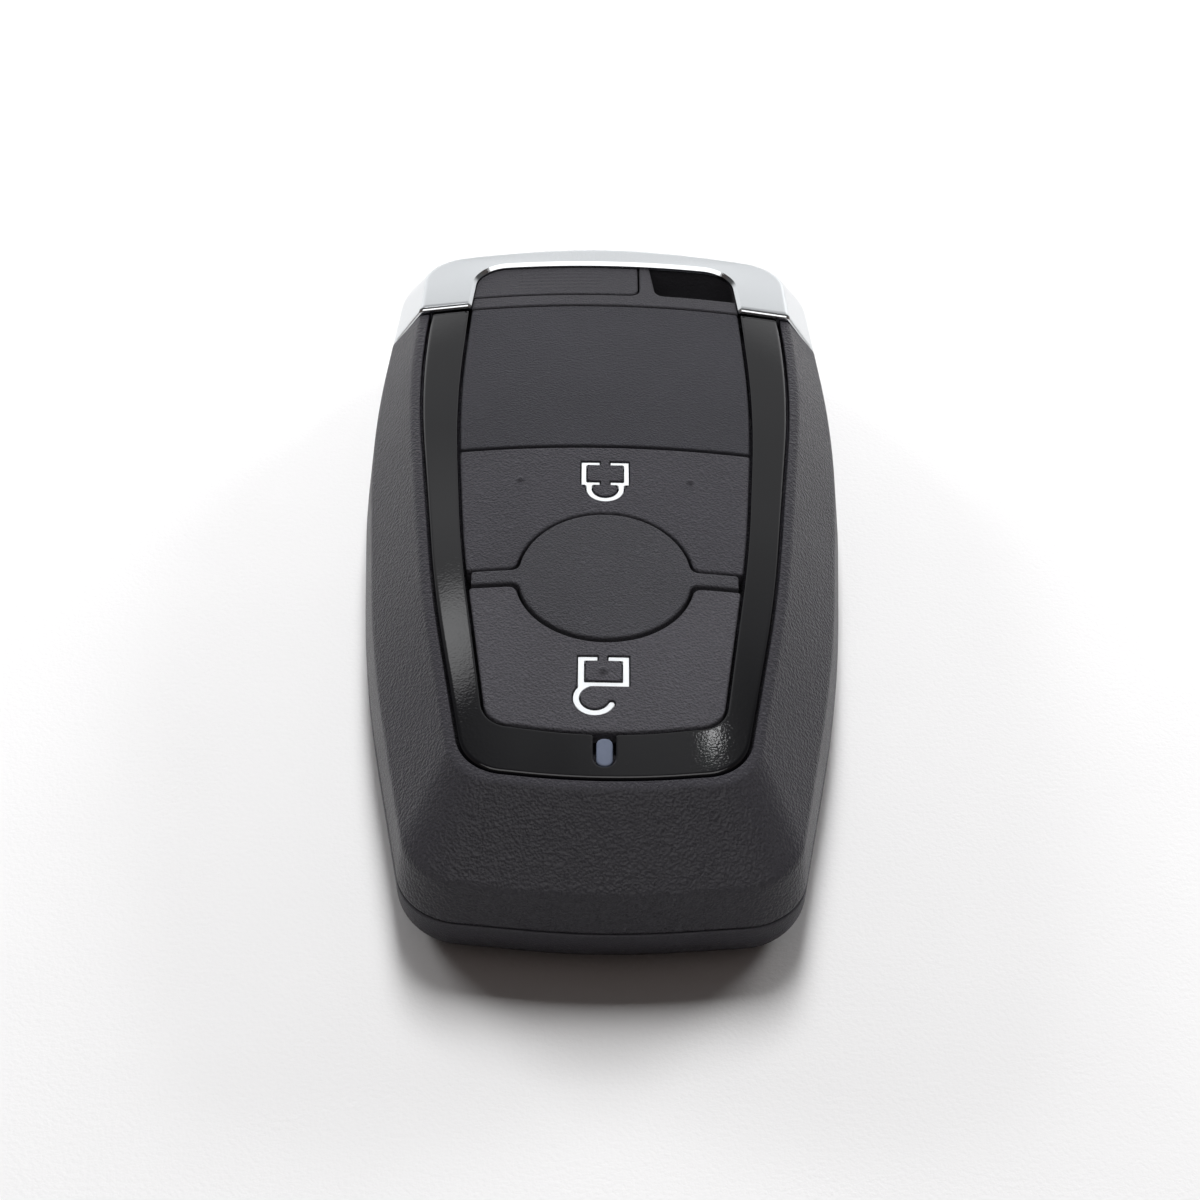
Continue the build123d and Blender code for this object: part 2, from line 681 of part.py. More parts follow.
# --- coin cell and its contacts ---
with BuildPart() as coin_cell:
    with BuildSketch(Plane.XY.offset(batt_lo + 0.5)):
        with Locations((0, batt_y)):
            Circle(batt_r)
    extrude(amount=batt_h - 0.5)
    fillet(coin_cell.edges().group_by(Axis.Z)[-1], radius=0.4)
    with BuildSketch(Plane.XY.offset(batt_lo)):
        with Locations((0, batt_y)):
            Circle(batt_r - 1.1)
    extrude(amount=0.5)
coin_cell.part.label = "coin_cell"
export_step(coin_cell.part, "parts/coin_cell.step")

with BuildPart() as negative_contact:
    add(span(batt_y - 1.6, batt_y + 1.6, floor_t, batt_lo, -9.6, -1.0))
    add(span(batt_y - 1.6, batt_y + 1.6, floor_t, batt_lo, -12.9, -9.6))
    add(span(batt_y - 1.6, batt_y + 1.6, floor_t, pcb_lo, -13.1, -12.9))
negative_contact.part.label = "negative_contact"
export_step(negative_contact.part, "parts/negative_contact.step")

with BuildPart() as positive_contact:
    add(span(batt_y - 2.0, batt_y + 2.0, 2.2, pcb_lo, batt_r + 0.02, batt_r + 0.22))
    add(span(batt_y - 2.0, batt_y + 2.0, pcb_lo - 0.2, pcb_lo, batt_r + 0.02, batt_r + 2.4))
positive_contact.part.label = "positive_contact"
export_step(positive_contact.part, "parts/positive_contact.step")


# --- key insert -------------------------------------------------------------
def arch_face(d=0.0, near=seam_y):
    """Opening of the arch, in the current sketch."""
    slope = (arch_half_near - arch_half_far) / (arch_far_y - seam_y)
    w0, w1 = arch_half_near + slope * (seam_y - near) - d, arch_half_far - d
    far = arch_far_y - d
    with BuildLine() as rim:
        FilletPolyline((-w0, near), (-w1, far), (w1, far), (w0, near), radius=arch_corner)
        Line((w0, near), (-w0, near))
    make_face(rim.edges())


def hole_face(d=0.0):
    """Keyring opening at the right of the arch, in the current sketch."""
    with BuildLine() as rim:
        FilletPolyline((4.18 - d, arch_far_y + 1), (4.75 - d, 29.32 - d), (13.2 + d, 29.32 - d), (13.2 + d, arch_far_y + 1),
                       radius=0.7)
        Line((13.2 + d, arch_far_y + 1), (4.18 - d, arch_far_y + 1))
    make_face(rim.edges())


y_in = seam_y + seam_half
lining_block = crown(-lining_low)

# --- bright end cap: arch plate on two legs, with its own side walls ---
with BuildPart() as key_cap:
    add(upper_body.part)
    add(cap_block, mode=Mode.INTERSECT)
    add(span(y_in, 50, part_z + part_gap), mode=Mode.INTERSECT)
    with BuildSketch(Plane.XY.offset(part_z)):
        ring_face(shifted(S, -cap_wall))
    extrude(amount=cap_roof_z - part_z - 1.6, mode=Mode.SUBTRACT)
    with BuildSketch(Plane.XY.offset(cap_roof_z - 1.7)):
        ring_face(level(cap_roof_z, -cap_wall))
    extrude(amount=1.7, mode=Mode.SUBTRACT)
    with BuildSketch(Plane.XY.offset(9.0)):
        arch_face(0.0, seam_y - 2)
    extrude(amount=9.0, mode=Mode.SUBTRACT)
    # thin lip over the black lining
    with BuildSketch(Plane.XY.offset(9.0)):
        arch_face(-lining, seam_y - 2)
    wide_prism = extrude(amount=9.0, mode=Mode.PRIVATE)
    add(wide_prism & lining_block, mode=Mode.SUBTRACT)
key_cap.part.label = "key_cap"
export_step(key_cap.part, "parts/key_cap.step")

# --- black key head: fills the cap, carries blade, boss and keyring opening ---
with BuildPart() as key_head:
    add(lower_body.part)
    add(span(y_in, 50, -1, part_z - part_gap), mode=Mode.INTERSECT)
    with BuildSketch(Plane.XY.offset(part_z - part_gap)):
        ring_face(shifted(S, -cap_wall))
    extrude(amount=cap_roof_z - part_z - 1.6 + part_gap)
    with BuildSketch(Plane.XY.offset(cap_roof_z - 1.7)):
        ring_face(level(cap_roof_z, -cap_wall))
    extrude(amount=1.7)
    with BuildSketch(Plane.XY.offset(9.0)):
        arch_face(0.0)
    top_plug = extrude(amount=9.0, mode=Mode.PRIVATE)
    add(top_plug & skin_block)
    with BuildSketch(Plane.XY.offset(9.0)):
        arch_face(-lining)
    wide_plug = extrude(amount=9.0, mode=Mode.PRIVATE)
    add(wide_plug & lining_block)
    add(span(y_in, 50), mode=Mode.INTERSECT)
    # keyring opening, right through
    with BuildSketch(Plane.XY.offset(9.0)):
        arch_face(0.0, seam_y - 2)
    arch_prism = extrude(amount=9.0, mode=Mode.PRIVATE)
    with BuildSketch(Plane.XY.offset(-1.0)):
        hole_face()
    hole_prism = extrude(amount=18.0, mode=Mode.PRIVATE)
    with BuildSketch(Plane.XY.offset(-1.0)):
        arch_face(0.0, seam_y - 2)
    arch_full = extrude(amount=18.0, mode=Mode.PRIVATE)
    add(hole_prism & arch_full, mode=Mode.SUBTRACT)
    # boss that enters the fob, and the blade's seat
    add(span(boss_y, y_in + 0.5, boss_lo, boss_hi, -boss_half, boss_half))
    add(span(boss_y - 1, 34.0, blade_lo, blade_hi, -blade_w / 2, blade_w / 2), mode=Mode.SUBTRACT)
    with BuildSketch(Plane.XY.offset(3.0)):
        with Locations((0, pin_y)):
            Circle(pin_r)
    extrude(amount=6.5, mode=Mode.SUBTRACT)
    # well of the release button and the slot of its arm
    with BuildSketch(Plane.XY.offset(rel_floor - rel_travel - 0.2)):
        arch_face(0.0, seam_y - 2)
        with Locations(((-14.0 + rel_x1 + 0.15) / 2, (rel_y0 - 0.15 + 40.0) / 2)):
            Rectangle(rel_x1 + 0.15 + 14.0, 40.0 - rel_y0 + 0.15, mode=Mode.INTERSECT)
    extrude(amount=6.0, mode=Mode.SUBTRACT)
    add(span(seam_y, 30.95, arm_lo - rel_travel - 0.2, rel_floor, arm_x0 - 0.25, arm_x1 + 0.25), mode=Mode.SUBTRACT)
key_head.part.label = "key_head"
export_step(key_head.part, "parts/key_head.step")

# --- release button: ribbed pad with a latch arm ---
with BuildPart() as release_button:
    with BuildSketch(Plane.XY.offset(rel_floor)):
        arch_face(0.15, seam_y - 2)
        with Locations(((-14.0 + rel_x1) / 2, (rel_y0 + 40.0) / 2)):
            Rectangle(rel_x1 + 14.0, 40.0 - rel_y0, mode=Mode.INTERSECT)
    extrude(amount=5.0)
    add(skin_block, mode=Mode.INTERSECT)
    with BuildSketch(Plane.XY.offset(12.0)):
        with Locations((-4.15, 30.55), (-4.15, 31.25), (-4.15, 31.95), (-4.15, 32.65)):
            RectangleRounded(7.9, 0.28, 0.13)
    ribs = extrude(amount=3.0, mode=Mode.PRIVATE)
    add(ribs & crown(0.10))
    add(span(29.6, 30.7, arm_lo, rel_floor + 0.2, arm_x0, arm_x1))
    add(span(23.6, 30.7, arm_lo, arm_hi, arm_x0, arm_x1))
    add(span(24.3, 25.1, arm_lo, arm_hi + 0.1, arm_x0, arm_x1))
release_button.part.label = "release_button"
export_step(release_button.part, "parts/release_button.step")

# --- bent leaf spring under the release button ---
with BuildPart() as release_spring:
    zf = rel_floor - rel_travel - 0.2
    with BuildSketch(Plane.YZ.offset(-1.8)):
        with BuildLine():
            Polyline((30.2, zf), (33.2, zf), (33.2, zf + 0.12), (31.2, zf + 0.12), (33.2, rel_floor - 0.12),
                     (33.2, rel_floor), (32.9, rel_floor), (30.2, zf + 0.12), (30.2, zf))
        make_face()
    extrude(amount=3.4)
release_spring.part.label = "release_spring"
export_step(release_spring.part, "parts/release_spring.step")

# --- steel key blade with milled track, and its roll pin ---
with BuildPart() as key_blade:
    add(span(blade_tip_y, 34.0, blade_lo, blade_hi, -blade_w / 2, blade_w / 2))
    chamfer(key_blade.faces().sort_by(Axis.Y)[0].edges().filter_by(Axis.Z), 1.6)
    with BuildSketch(Plane.XY.offset(blade_hi - 0.45)):
        with BuildLine():
            Polyline((0.6, -23.0), (-0.7, -18.0), (0.9, -13.0), (-0.4, -8.0), (0.8, -3.0), (-0.9, 2.0), (0.2, 7.0),
                     (0.2, 18.0))
        trace(line_width=1.3)
    extrude(amount=1.0, mode=Mode.SUBTRACT)
    with BuildSketch(Plane.XY.offset(blade_lo)):
        with BuildLine():
            Polyline((-0.6, -23.0), (0.7, -18.0), (-0.9, -13.0), (0.4, -8.0), (-0.8, -3.0), (0.9, 2.0), (-0.2, 7.0),
                     (-0.2, 18.0))
        trace(line_width=1.3)
    extrude(amount=0.45, mode=Mode.SUBTRACT)
    with BuildSketch(Plane.XY.offset(blade_lo - 1)):
        with Locations((0, pin_y)):
            Circle(pin_r)
    extrude(amount=5.0, mode=Mode.SUBTRACT)
key_blade.part.label = "key_blade"
export_step(key_blade.part, "parts/key_blade.step")

with BuildPart() as blade_pin:
    with BuildSketch(Plane.XY.offset(3.0)):
        with Locations((0, pin_y)):
            Circle(pin_r)
    extrude(amount=6.5)
    chamfer(blade_pin.edges().filter_by(GeomType.CIRCLE), 0.12)
blade_pin.part.label = "blade_pin"
export_step(blade_pin.part, "parts/blade_pin.step")

print("done")
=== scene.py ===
import bpy
import bmesh
import json
import math
import numpy as np
from mathutils import Matrix, Vector
from mathutils.geometry import delaunay_2d_cdt


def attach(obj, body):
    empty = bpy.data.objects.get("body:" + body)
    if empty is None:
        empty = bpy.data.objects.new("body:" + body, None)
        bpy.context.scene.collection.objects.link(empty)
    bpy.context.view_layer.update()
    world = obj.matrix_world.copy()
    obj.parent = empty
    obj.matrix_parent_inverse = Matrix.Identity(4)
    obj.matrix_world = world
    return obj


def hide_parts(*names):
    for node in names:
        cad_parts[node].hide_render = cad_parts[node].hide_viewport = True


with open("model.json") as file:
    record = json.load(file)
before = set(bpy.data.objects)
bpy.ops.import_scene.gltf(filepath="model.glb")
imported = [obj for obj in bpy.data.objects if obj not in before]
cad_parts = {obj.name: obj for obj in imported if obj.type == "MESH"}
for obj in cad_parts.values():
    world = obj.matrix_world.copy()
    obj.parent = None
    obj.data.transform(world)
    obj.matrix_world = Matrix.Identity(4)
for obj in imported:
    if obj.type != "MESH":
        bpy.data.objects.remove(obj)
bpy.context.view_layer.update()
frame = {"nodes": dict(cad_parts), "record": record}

MM = 0.001

# ---------------------------------------------------------------------------
# Dimensions, millimetres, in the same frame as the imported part.
# ---------------------------------------------------------------------------
top_z, r_cross, r_long, cap_proud = 15.19, 98.0, 294.0, 0.5
part_z, part_gap = 4.30, 0.08
soft_z, soft_rise = 8.45, 0.0164
wall, floor_t, bottom_round = 1.5, 1.2, 3.0
seam_y, seam_half = 27.25, 0.10
far_wall_y = 25.4
roof_lo, roof_hi = 10.30, 11.10
trim_t, trim_gap = 1.3, 0.11
led_y0, led_y1, led_w, notch_w = -27.45, -30.10, 1.20, 1.80
key_gap, bezel_gap = 0.14, 0.15
panel_lock_y, arm_hi_y, arm_lo_y = 5.90, -9.37, -11.14
disc_y, disc_r = -10.15, 7.28
cap_wall, cap_roof_z = 1.3, 11.25
rel_x1, rel_y0 = 3.08, 29.25

P = ([(0.0, 39.50), (19.40, 38.60), (21.45, 12.0), (20.0, -12.8), (15.40, -38.15), (0.0, -39.66)],
     [80.0, 6.5, 120.0, 150.0, 5.5, 60.0])
S = ([(0.0, 39.00), (18.75, 38.20), (21.0, 14.0), (19.3, -12.8), (15.15, -36.75), (0.0, -39.10)],
     [80.0, 6.2, 120.0, 150.0, 5.5, 60.0])
R = ([(0.0, 36.75), (16.75, 35.75), (17.6, 16.0), (15.05, -11.5), (11.8, -31.05), (0.0, -32.90)],
     [80.0, 3.6, 120.0, 150.0, 4.6, 40.0])
rim_z = [12.9, 12.0, 13.23, 13.81, 13.15, 13.40]
end_y = 28.3
BO = ([(16.10, end_y), (16.7, 16.0), (14.15, -11.5), (11.05, -30.15), (0.0, -32.0)],
      [0.0, 120.0, 150.0, 4.3, 40.0])
BI = ([(12.45, end_y), (13.1, 12.0), (11.95, -6.5), (9.45, -25.75), (0.0, -27.6)],
      [0.0, 150.0, 150.0, 2.6, 30.0])
arch_slope = (12.42 - 11.85) / (34.10 - seam_y)
axis_z = top_z - r_long


# ---------------------------------------------------------------------------
# Plane geometry helpers
# ---------------------------------------------------------------------------
def skin(x, y, d=0.0):
    x, y = np.asarray(x, float), np.asarray(y, float)
    side = r_cross + d - np.sqrt((r_cross + d) ** 2 - x * x)
    rad = r_long + d - side
    return axis_z + np.sqrt(rad * rad - y * y)


def crossing(p, u, q, v):
    det = u[0] * v[1] - u[1] * v[0]
    s = ((q[0] - p[0]) * v[1] - (q[1] - p[1]) * v[0]) / det
    return (p[0] + s * u[0], p[1] + s * u[1])


def shifted(shape, d=0.0):
    verts, radii = shape
    if not d:
        return shape
    lines = []
    for (ax, ay), (bx, by) in zip(verts[:-1], verts[1:]):
        n = math.hypot(bx - ax, by - ay)
        ux, uy = (bx - ax) / n, (by - ay) / n
        lines.append(((ax - uy * d, ay + ux * d), (ux, uy)))
    first = crossing(*lines[0], (0, verts[0][1]), (1, 0)) if radii[0] == 0 and verts[0][0] else \
        crossing(*lines[0], (0, 0), (0, 1))
    last = crossing(*lines[-1], (0, verts[-1][1]), (1, 0)) if radii[-1] == 0 and verts[-1][0] else \
        crossing(*lines[-1], (0, 0), (0, 1))
    out = [first] + [crossing(*m, *n) for m, n in zip(lines[:-1], lines[1:])] + [last]
    return out, [r + d if r else 0.0 for r in radii]


P = shifted(P, -0.012)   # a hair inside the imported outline


def level(z, d=0.0):
    verts, radii = [], []
    for (sx, sy), (rx, ry), zr, rs, rr in zip(S[0], R[0], rim_z, S[1], R[1]):
        t = (z - soft_z - soft_rise * sy) / (zr - soft_z - soft_rise * sy)
        verts.append((sx + t * (rx - sx), sy + t * (ry - sy)))
        radii.append(rs + t * (rr - rs))
    return shifted((verts, radii), d)


def arch(d=0.0, far=34.10):
    """Arch opening as a right half outline, moved outwards by d."""
    near = 24.0
    w1, w0 = 11.85, 12.42 + arch_slope * (seam_y - near)
    return shifted(([(0.0, far), (w1, far), (w0, near)], [0.0, 2.9, 0.0]), d)


def prims(shape):
    """Lines and arcs of the right half, from the far centre to the near end, as (vertex index, points)."""
    V = [np.array(v, float) for v in shape[0]]
    radii, n, out, prev = shape[1], len(shape[0]), [], None
    for i, (v, r) in enumerate(zip(V, radii)):
        if not r:
            if prev is not None:
                out.append((None, np.array([prev, v])))
            prev = v
            continue
        a = V[i - 1] if i > 0 else V[1] * np.array([-1, 1])
        b = V[i + 1] if i < n - 1 else V[-2] * np.array([-1, 1])
        u, w = (v - a) / np.linalg.norm(v - a), (b - v) / np.linalg.norm(b - v)
        th = math.atan2(u[0] * w[1] - u[1] * w[0], float(u @ w))
        t = r * math.tan(abs(th) / 2)
        s = 1.0 if th > 0 else -1.0
        first = v - u * t
        centre = first + np.array([-u[1], u[0]]) * s * r
        a0 = math.atan2(*(first - centre)[::-1])
        lo, hi = (0.5 if i == 0 else 0.0), (0.5 if i == n - 1 else 1.0)
        ang = a0 + th * np.linspace(lo, hi, 49)
        pts = centre + r * np.stack([np.cos(ang), np.sin(ang)], 1)
        if prev is not None:
            out.append((None, np.array([prev, pts[0]])))
        out.append((i, pts))
        prev = pts[-1]
    return out


def resample(poly, n):
    poly = np.asarray(poly, float)
    s = np.concatenate([[0], np.cumsum(np.linalg.norm(np.diff(poly, axis=0), axis=1))])
    t = np.linspace(0, s[-1], n + 1)
    return np.stack([np.interp(t, s, poly[:, k]) for k in range(poly.shape[1])], 1)


def dens(poly, h):
    poly = np.asarray(poly, float)
    length = np.linalg.norm(np.diff(poly, axis=0), axis=1).sum()
    return resample(poly, max(1, int(round(length / h))))


def chain(parts):
    pts = [parts[0]]
    for p in parts[1:]:
        pts.append(p[1:] if np.linalg.norm(p[0] - pts[-1][-1]) < 1e-6 else p)
    return np.concatenate(pts)


def cut_at(poly, y):
    """The part of a polyline before it reaches the height y, ending exactly there."""
    for i in range(len(poly) - 1):
        a, b = poly[i], poly[i + 1]
        if (a[1] - y) * (b[1] - y) <= 0 and a[1] != b[1]:
            c = a + (b - a) * (y - a[1]) / (b[1] - a[1])
            return np.concatenate([poly[:i + 1], [c]])
    return poly


def half_strip(shape, which, y_cut, counts):
    """Right half from the cut to the centre, near end or far end, with the same stations on every outline."""
    pr = prims(shape)
    n = len(shape[0])
    ns, nc, ne = counts
    if which == "near":
        k = [i for i, (v, _) in enumerate(pr) if v == n - 2][0]
        side = chain([p for _, p in pr[:k]])[::-1]
        side = cut_at(side, y_cut)[::-1]
        corner = pr[k][1]
        end = chain([p for _, p in pr[k + 1:]])
    else:
        k = [i for i, (v, _) in enumerate(pr) if v == 1][0]
        side = cut_at(chain([p for _, p in pr[k + 1:]]), y_cut)[::-1]
        corner = pr[k][1][::-1]
        end = chain([p for _, p in pr[:k]])[::-1]
    return np.concatenate([resample(side, ns)[:-1], resample(corner, nc)[:-1], resample(end, ne)])


def both(half):
    """Mirrors a right half that ends at x = 0."""
    return np.concatenate([half, half[-2::-1] * np.array([-1, 1])])


def near_strip(shape, counts=(76, 18, 22), y=seam_y - seam_half):
    return both(half_strip(shape, "near", y, counts))


def far_strip(shape, counts=(12, 20, 24), y=seam_y + seam_half):
    return both(half_strip(shape, "far", y, counts))


def at(strip, z):
    z = np.broadcast_to(np.asarray(z, float), (len(strip),))
    return np.column_stack([strip, z])


# ---------------------------------------------------------------------------
# Mesh helpers
# ---------------------------------------------------------------------------
def rounded_rows(ctrl, radii, segs, closed=False, step=1.4):
    """Rows of a profile that passes through the control rows with rounded corners."""
    C = [np.asarray(c, float) for c in ctrl]
    n = len(C)
    heads, tails, arcs = {}, {}, {}
    for k in range(n):
        if not closed and k in (0, n - 1):
            heads[k] = tails[k] = C[k]
            arcs[k] = [C[k]]
            continue
        a, b = C[(k - 1) % n] - C[k], C[(k + 1) % n] - C[k]
        la, lb = np.linalg.norm(a, axis=1, keepdims=True), np.linalg.norm(b, axis=1, keepdims=True)
        ua, ub = a / la, b / lb
        cosv = np.clip((ua * ub).sum(1, keepdims=True), -0.999999, 0.999999)
        half = np.arccos(cosv) / 2
        r = radii[k]
        if r <= 0:
            heads[k] = tails[k] = C[k]
            arcs[k] = [C[k]]
            continue
        t = np.minimum(r / np.tan(half), 0.46 * np.minimum(la, lb))
        rr = t * np.tan(half)
        bis = (ua + ub) / np.maximum(np.linalg.norm(ua + ub, axis=1, keepdims=True), 1e-9)
        cen = C[k] + bis * rr / np.sin(half)
        p, q = C[k] + ua * t - cen, C[k] + ub * t - cen
        om = math.pi - 2 * half
        rows = []
        for j in range(segs[k] + 1):
            f = j / segs[k]
            rows.append(cen + (np.sin((1 - f) * om) * p + np.sin(f * om) * q) / np.maximum(np.sin(om), 1e-6))
        arcs[k] = rows
        heads[k], tails[k] = rows[0], rows[-1]
    rows = []
    for k in range(n):
        rows += arcs[k]
        if k == n - 1 and not closed:
            break
        a, b = tails[k], heads[(k + 1) % n]
        gap = np.linalg.norm(b - a, axis=1, keepdims=True)
        mean = float(gap.mean())
        if mean > 0.5:
            s = np.minimum(0.13, 0.2 * gap) / np.maximum(gap, 1e-9)
            rows.append(a + (b - a) * s)
            for j in range(1, int(mean / step)):
                rows.append(a + (b - a) * (s + (1 - 2 * s) * j / int(mean / step)))
            rows.append(b + (a - b) * s)
    return rows


class Build:
    """Collects vertices and faces in millimetres."""

    def __init__(self):
        self.v, self.f, self.n = [], [], 0

    def add(self, pts):
        pts = np.asarray(pts, float)
        self.v.append(pts)
        i = np.arange(self.n, self.n + len(pts))
        self.n += len(pts)
        return i

    def band(self, a, b, closed=False):
        m = len(a)
        for i in range(m if closed else m - 1):
            j = (i + 1) % m
            self.f.append((int(a[i]), int(a[j]), int(b[j]), int(b[i])))

    def face(self, ids):
        self.f.append(tuple(int(i) for i in ids))

    def sweep(self, rows, end=(0.0, 0.0, 0)):
        """Closed cross-sections along the rows; end = (reach along y, inset, steps) rounds off both ends."""
        ids = [self.add(r) for r in rows]
        for a, b in zip(ids[:-1], ids[1:]):
            self.band(a, b)
        self.band(ids[-1], ids[0])
        for k in (0, -1):
            q = np.array([r[k] for r in rows])
            flat_q, prev = q[:, [0, 2]], np.array([i[k] for i in ids])
            turn = 1.0 if area(flat_q) > 0 else -1.0
            for j in range(1, end[2] + 1):
                a = math.pi / 2 * j / end[2]
                w = inset(flat_q, turn * end[1] * (1 - math.cos(a)))
                nxt = self.add(np.column_stack([w[:, 0], q[:, 1] + end[0] * math.sin(a), w[:, 1]]))
                self.band(prev, nxt, True)
                prev = nxt
            self.face(prev if k == 0 else prev[::-1])
        return ids

    def fill(self, loops, zf, h=None, ids=None, extra=None):
        """Triangles inside loops[0] and outside the others. ids reuses vertices already there."""
        pts = np.concatenate(loops)
        edges, k = [], 0
        for lp in loops:
            m = len(lp)
            edges += [(k + i, k + (i + 1) % m) for i in range(m)]
            k += m
        allp = pts
        if h:
            lo, hi = loops[0].min(0), loops[0].max(0)
            gx, gy = np.meshgrid(np.arange(lo[0], hi[0], h), np.arange(lo[1], hi[1], h * 0.866))
            gx = gx + (np.arange(gx.shape[0]) % 2)[:, None] * h / 2
            g = np.stack([gx.ravel(), gy.ravel()], 1)
            g = g[inside(g, loops)]
            keep = np.ones(len(g), bool)
            for c in range(0, len(g), 4000):
                d = np.sqrt(((g[c:c + 4000, None, :] - pts[None, :, :]) ** 2).sum(2)).min(1)
                keep[c:c + 4000] = d > 0.55 * h
            g = g[keep]
            if extra is not None:
                e = extra[inside(extra, loops)]
                if len(e):
                    d = np.sqrt(((g[:, None, :] - e[None, :, :]) ** 2).sum(2)).min(1)
                    g = np.concatenate([g[d > 0.3 * h], e])
            allp = np.concatenate([pts, g])
        vs, _, fs, ov, _, _ = delaunay_2d_cdt([Vector(p) for p in allp], edges, [], 0, 1e-6, True)
        back = {}
        for o, srcs in enumerate(ov):
            for s in srcs:
                back[o] = min(s, back.get(o, s))
        if ids is None:
            base = self.add(np.column_stack([pts, np.broadcast_to(zf(pts[:, 0], pts[:, 1]), len(pts))]))
        else:
            base = np.asarray(ids)
        if len(allp) > len(pts):
            g = allp[len(pts):]
            more = self.add(np.column_stack([g, np.broadcast_to(zf(g[:, 0], g[:, 1]), len(g))]))
            base = np.concatenate([base, more])
        co = np.array([tuple(p) for p in vs])
        tri = [t for t in fs if len(t) == 3 and all(i in back for i in t)]
        cen = np.array([co[list(t)].mean(0) for t in tri])
        ok = inside(cen, loops)
        for t, good in zip(tri, ok):
            if good:
                self.face([base[back[i]] for i in t])
        return base

    def obj(self, name, sharp=38.0, weld=True):
        me = bpy.data.meshes.new(name)
        v = np.concatenate(self.v) * MM
        me.from_pydata([tuple(p) for p in v], [], self.f)
        bm = bmesh.new()
        bm.from_mesh(me)
        if weld:
            bmesh.ops.remove_doubles(bm, verts=bm.verts, dist=1e-7)
        bmesh.ops.dissolve_degenerate(bm, edges=bm.edges, dist=1e-8)
        bmesh.ops.recalc_face_normals(bm, faces=bm.faces)
        bm.to_mesh(me)
        bm.free()
        me.polygons.foreach_set("use_smooth", [True] * len(me.polygons))
        me.set_sharp_from_angle(angle=math.radians(sharp))
        me.update()
        o = bpy.data.objects.new(name, me)
        bpy.context.scene.collection.objects.link(o)
        return o


def inside(p, loops):
    """Even-odd test of points against all loops together."""
    r = np.zeros(len(p), bool)
    for lp in loops:
        a, b = lp, np.roll(lp, -1, 0)
        for (ax, ay), (bx, by) in zip(a, b):
            if ay == by:
                continue
            c = (p[:, 1] < ay) != (p[:, 1] < by)
            r ^= c & (p[:, 0] < (bx - ax) * (p[:, 1] - ay) / (by - ay) + ax)
    return r


def area(loop):
    x, y = loop[:, 0], loop[:, 1]
    return 0.5 * float((x * np.roll(y, -1) - np.roll(x, -1) * y).sum())


def ccw(loop, want=True):
    return loop if (area(loop) > 0) == want else loop[::-1]


def inset(loop, d):
    """Moves a closed loop to its left by d."""
    e = np.roll(loop, -1, 0) - loop
    e = e / np.maximum(np.linalg.norm(e, axis=1, keepdims=True), 1e-12)
    nrm = np.column_stack([-e[:, 1], e[:, 0]])
    n0 = np.roll(nrm, 1, 0)
    m = nrm + n0
    m = m / np.maximum(np.linalg.norm(m, axis=1, keepdims=True), 1e-9)
    k = np.clip((m * nrm).sum(1, keepdims=True), 0.4, 1.0)
    return loop + m * d / k


def trimmed(poly, a, b):
    s = np.concatenate([[0], np.cumsum(np.linalg.norm(np.diff(poly, axis=0), axis=1))])
    L = s[-1]
    a, b = min(a, 0.45 * L), min(b, 0.45 * L)
    t = s[(s > a + 1e-6) & (s < L - b - 1e-6)]
    t = np.concatenate([[a], t, [L - b]])
    return np.stack([np.interp(t, s, poly[:, k]) for k in range(2)], 1)


def joined(segs, cuts, h=0.35, n=6):
    """Closed loop from polylines laid end to end, with each joint rounded off by its cut length."""
    segs = [dens(s, h) for s in segs]
    m = len(segs)
    out = []
    for i, s in enumerate(segs):
        t = trimmed(s, cuts[i - 1], cuts[i])
        out.append(t)
        nxt = trimmed(segs[(i + 1) % m], cuts[i], cuts[(i + 1) % m])
        if cuts[i] > 0:
            c = s[-1]
            f = np.linspace(0, 1, n + 2)[1:-1, None]
            out.append((1 - f) ** 2 * t[-1] + 2 * f * (1 - f) * c + f ** 2 * nxt[0])
    pts = np.concatenate(out)
    keep = np.linalg.norm(pts - np.roll(pts, 1, 0), axis=1) > 1e-4
    return pts[keep]


def tile(b, loops, zf, depth, r=0.18, n_arc=4, h=0.6, z_bottom=None, extra=None, r_hole=None):
    """A plate with a shaped top, rounded upper edges and straight walls. loops[0] is the outside."""
    loops = [ccw(lp, i == 0) for i, lp in enumerate(loops)]
    r_hole = r if r_hole is None else r_hole
    last, bottoms = [], []
    for i, lp in enumerate(loops):
        rr = r if i == 0 else r_hole
        rr = np.broadcast_to(np.asarray(rr, float), (len(lp),)) if np.ndim(rr) < 1 or len(rr) == len(lp) else rr
        margin = 0.10 if rr.min() > 0.06 else 0.015
        low = z_bottom if z_bottom is not None else zf(lp[:, 0], lp[:, 1]) - depth
        prev = bot = b.add(at(lp, low))
        bottoms.append((lp, bot))
        zt = zf(lp[:, 0], lp[:, 1])
        s = b.add(at(lp, zt - rr - np.minimum(0.1, rr)))
        b.band(prev, s, True)
        prev = s
        for j in range(n_arc + 1):
            a = math.pi / 2 * j / n_arc
            q = inset(lp, rr[:, None] * (1 - math.cos(a)))
            s = b.add(at(q, zf(q[:, 0], q[:, 1]) - rr * (1 - math.sin(a))))
            b.band(prev, s, True)
            prev = s
        q = inset(lp, rr[:, None] + margin)
        s = b.add(at(q, zf(q[:, 0], q[:, 1])))
        b.band(prev, s, True)
        last.append((q, s))
    b.fill([q for q, _ in last], zf, h, np.concatenate([s for _, s in last]), extra)
    b.fill([q for q, _ in bottoms], None, None, np.concatenate([s for _, s in bottoms]))


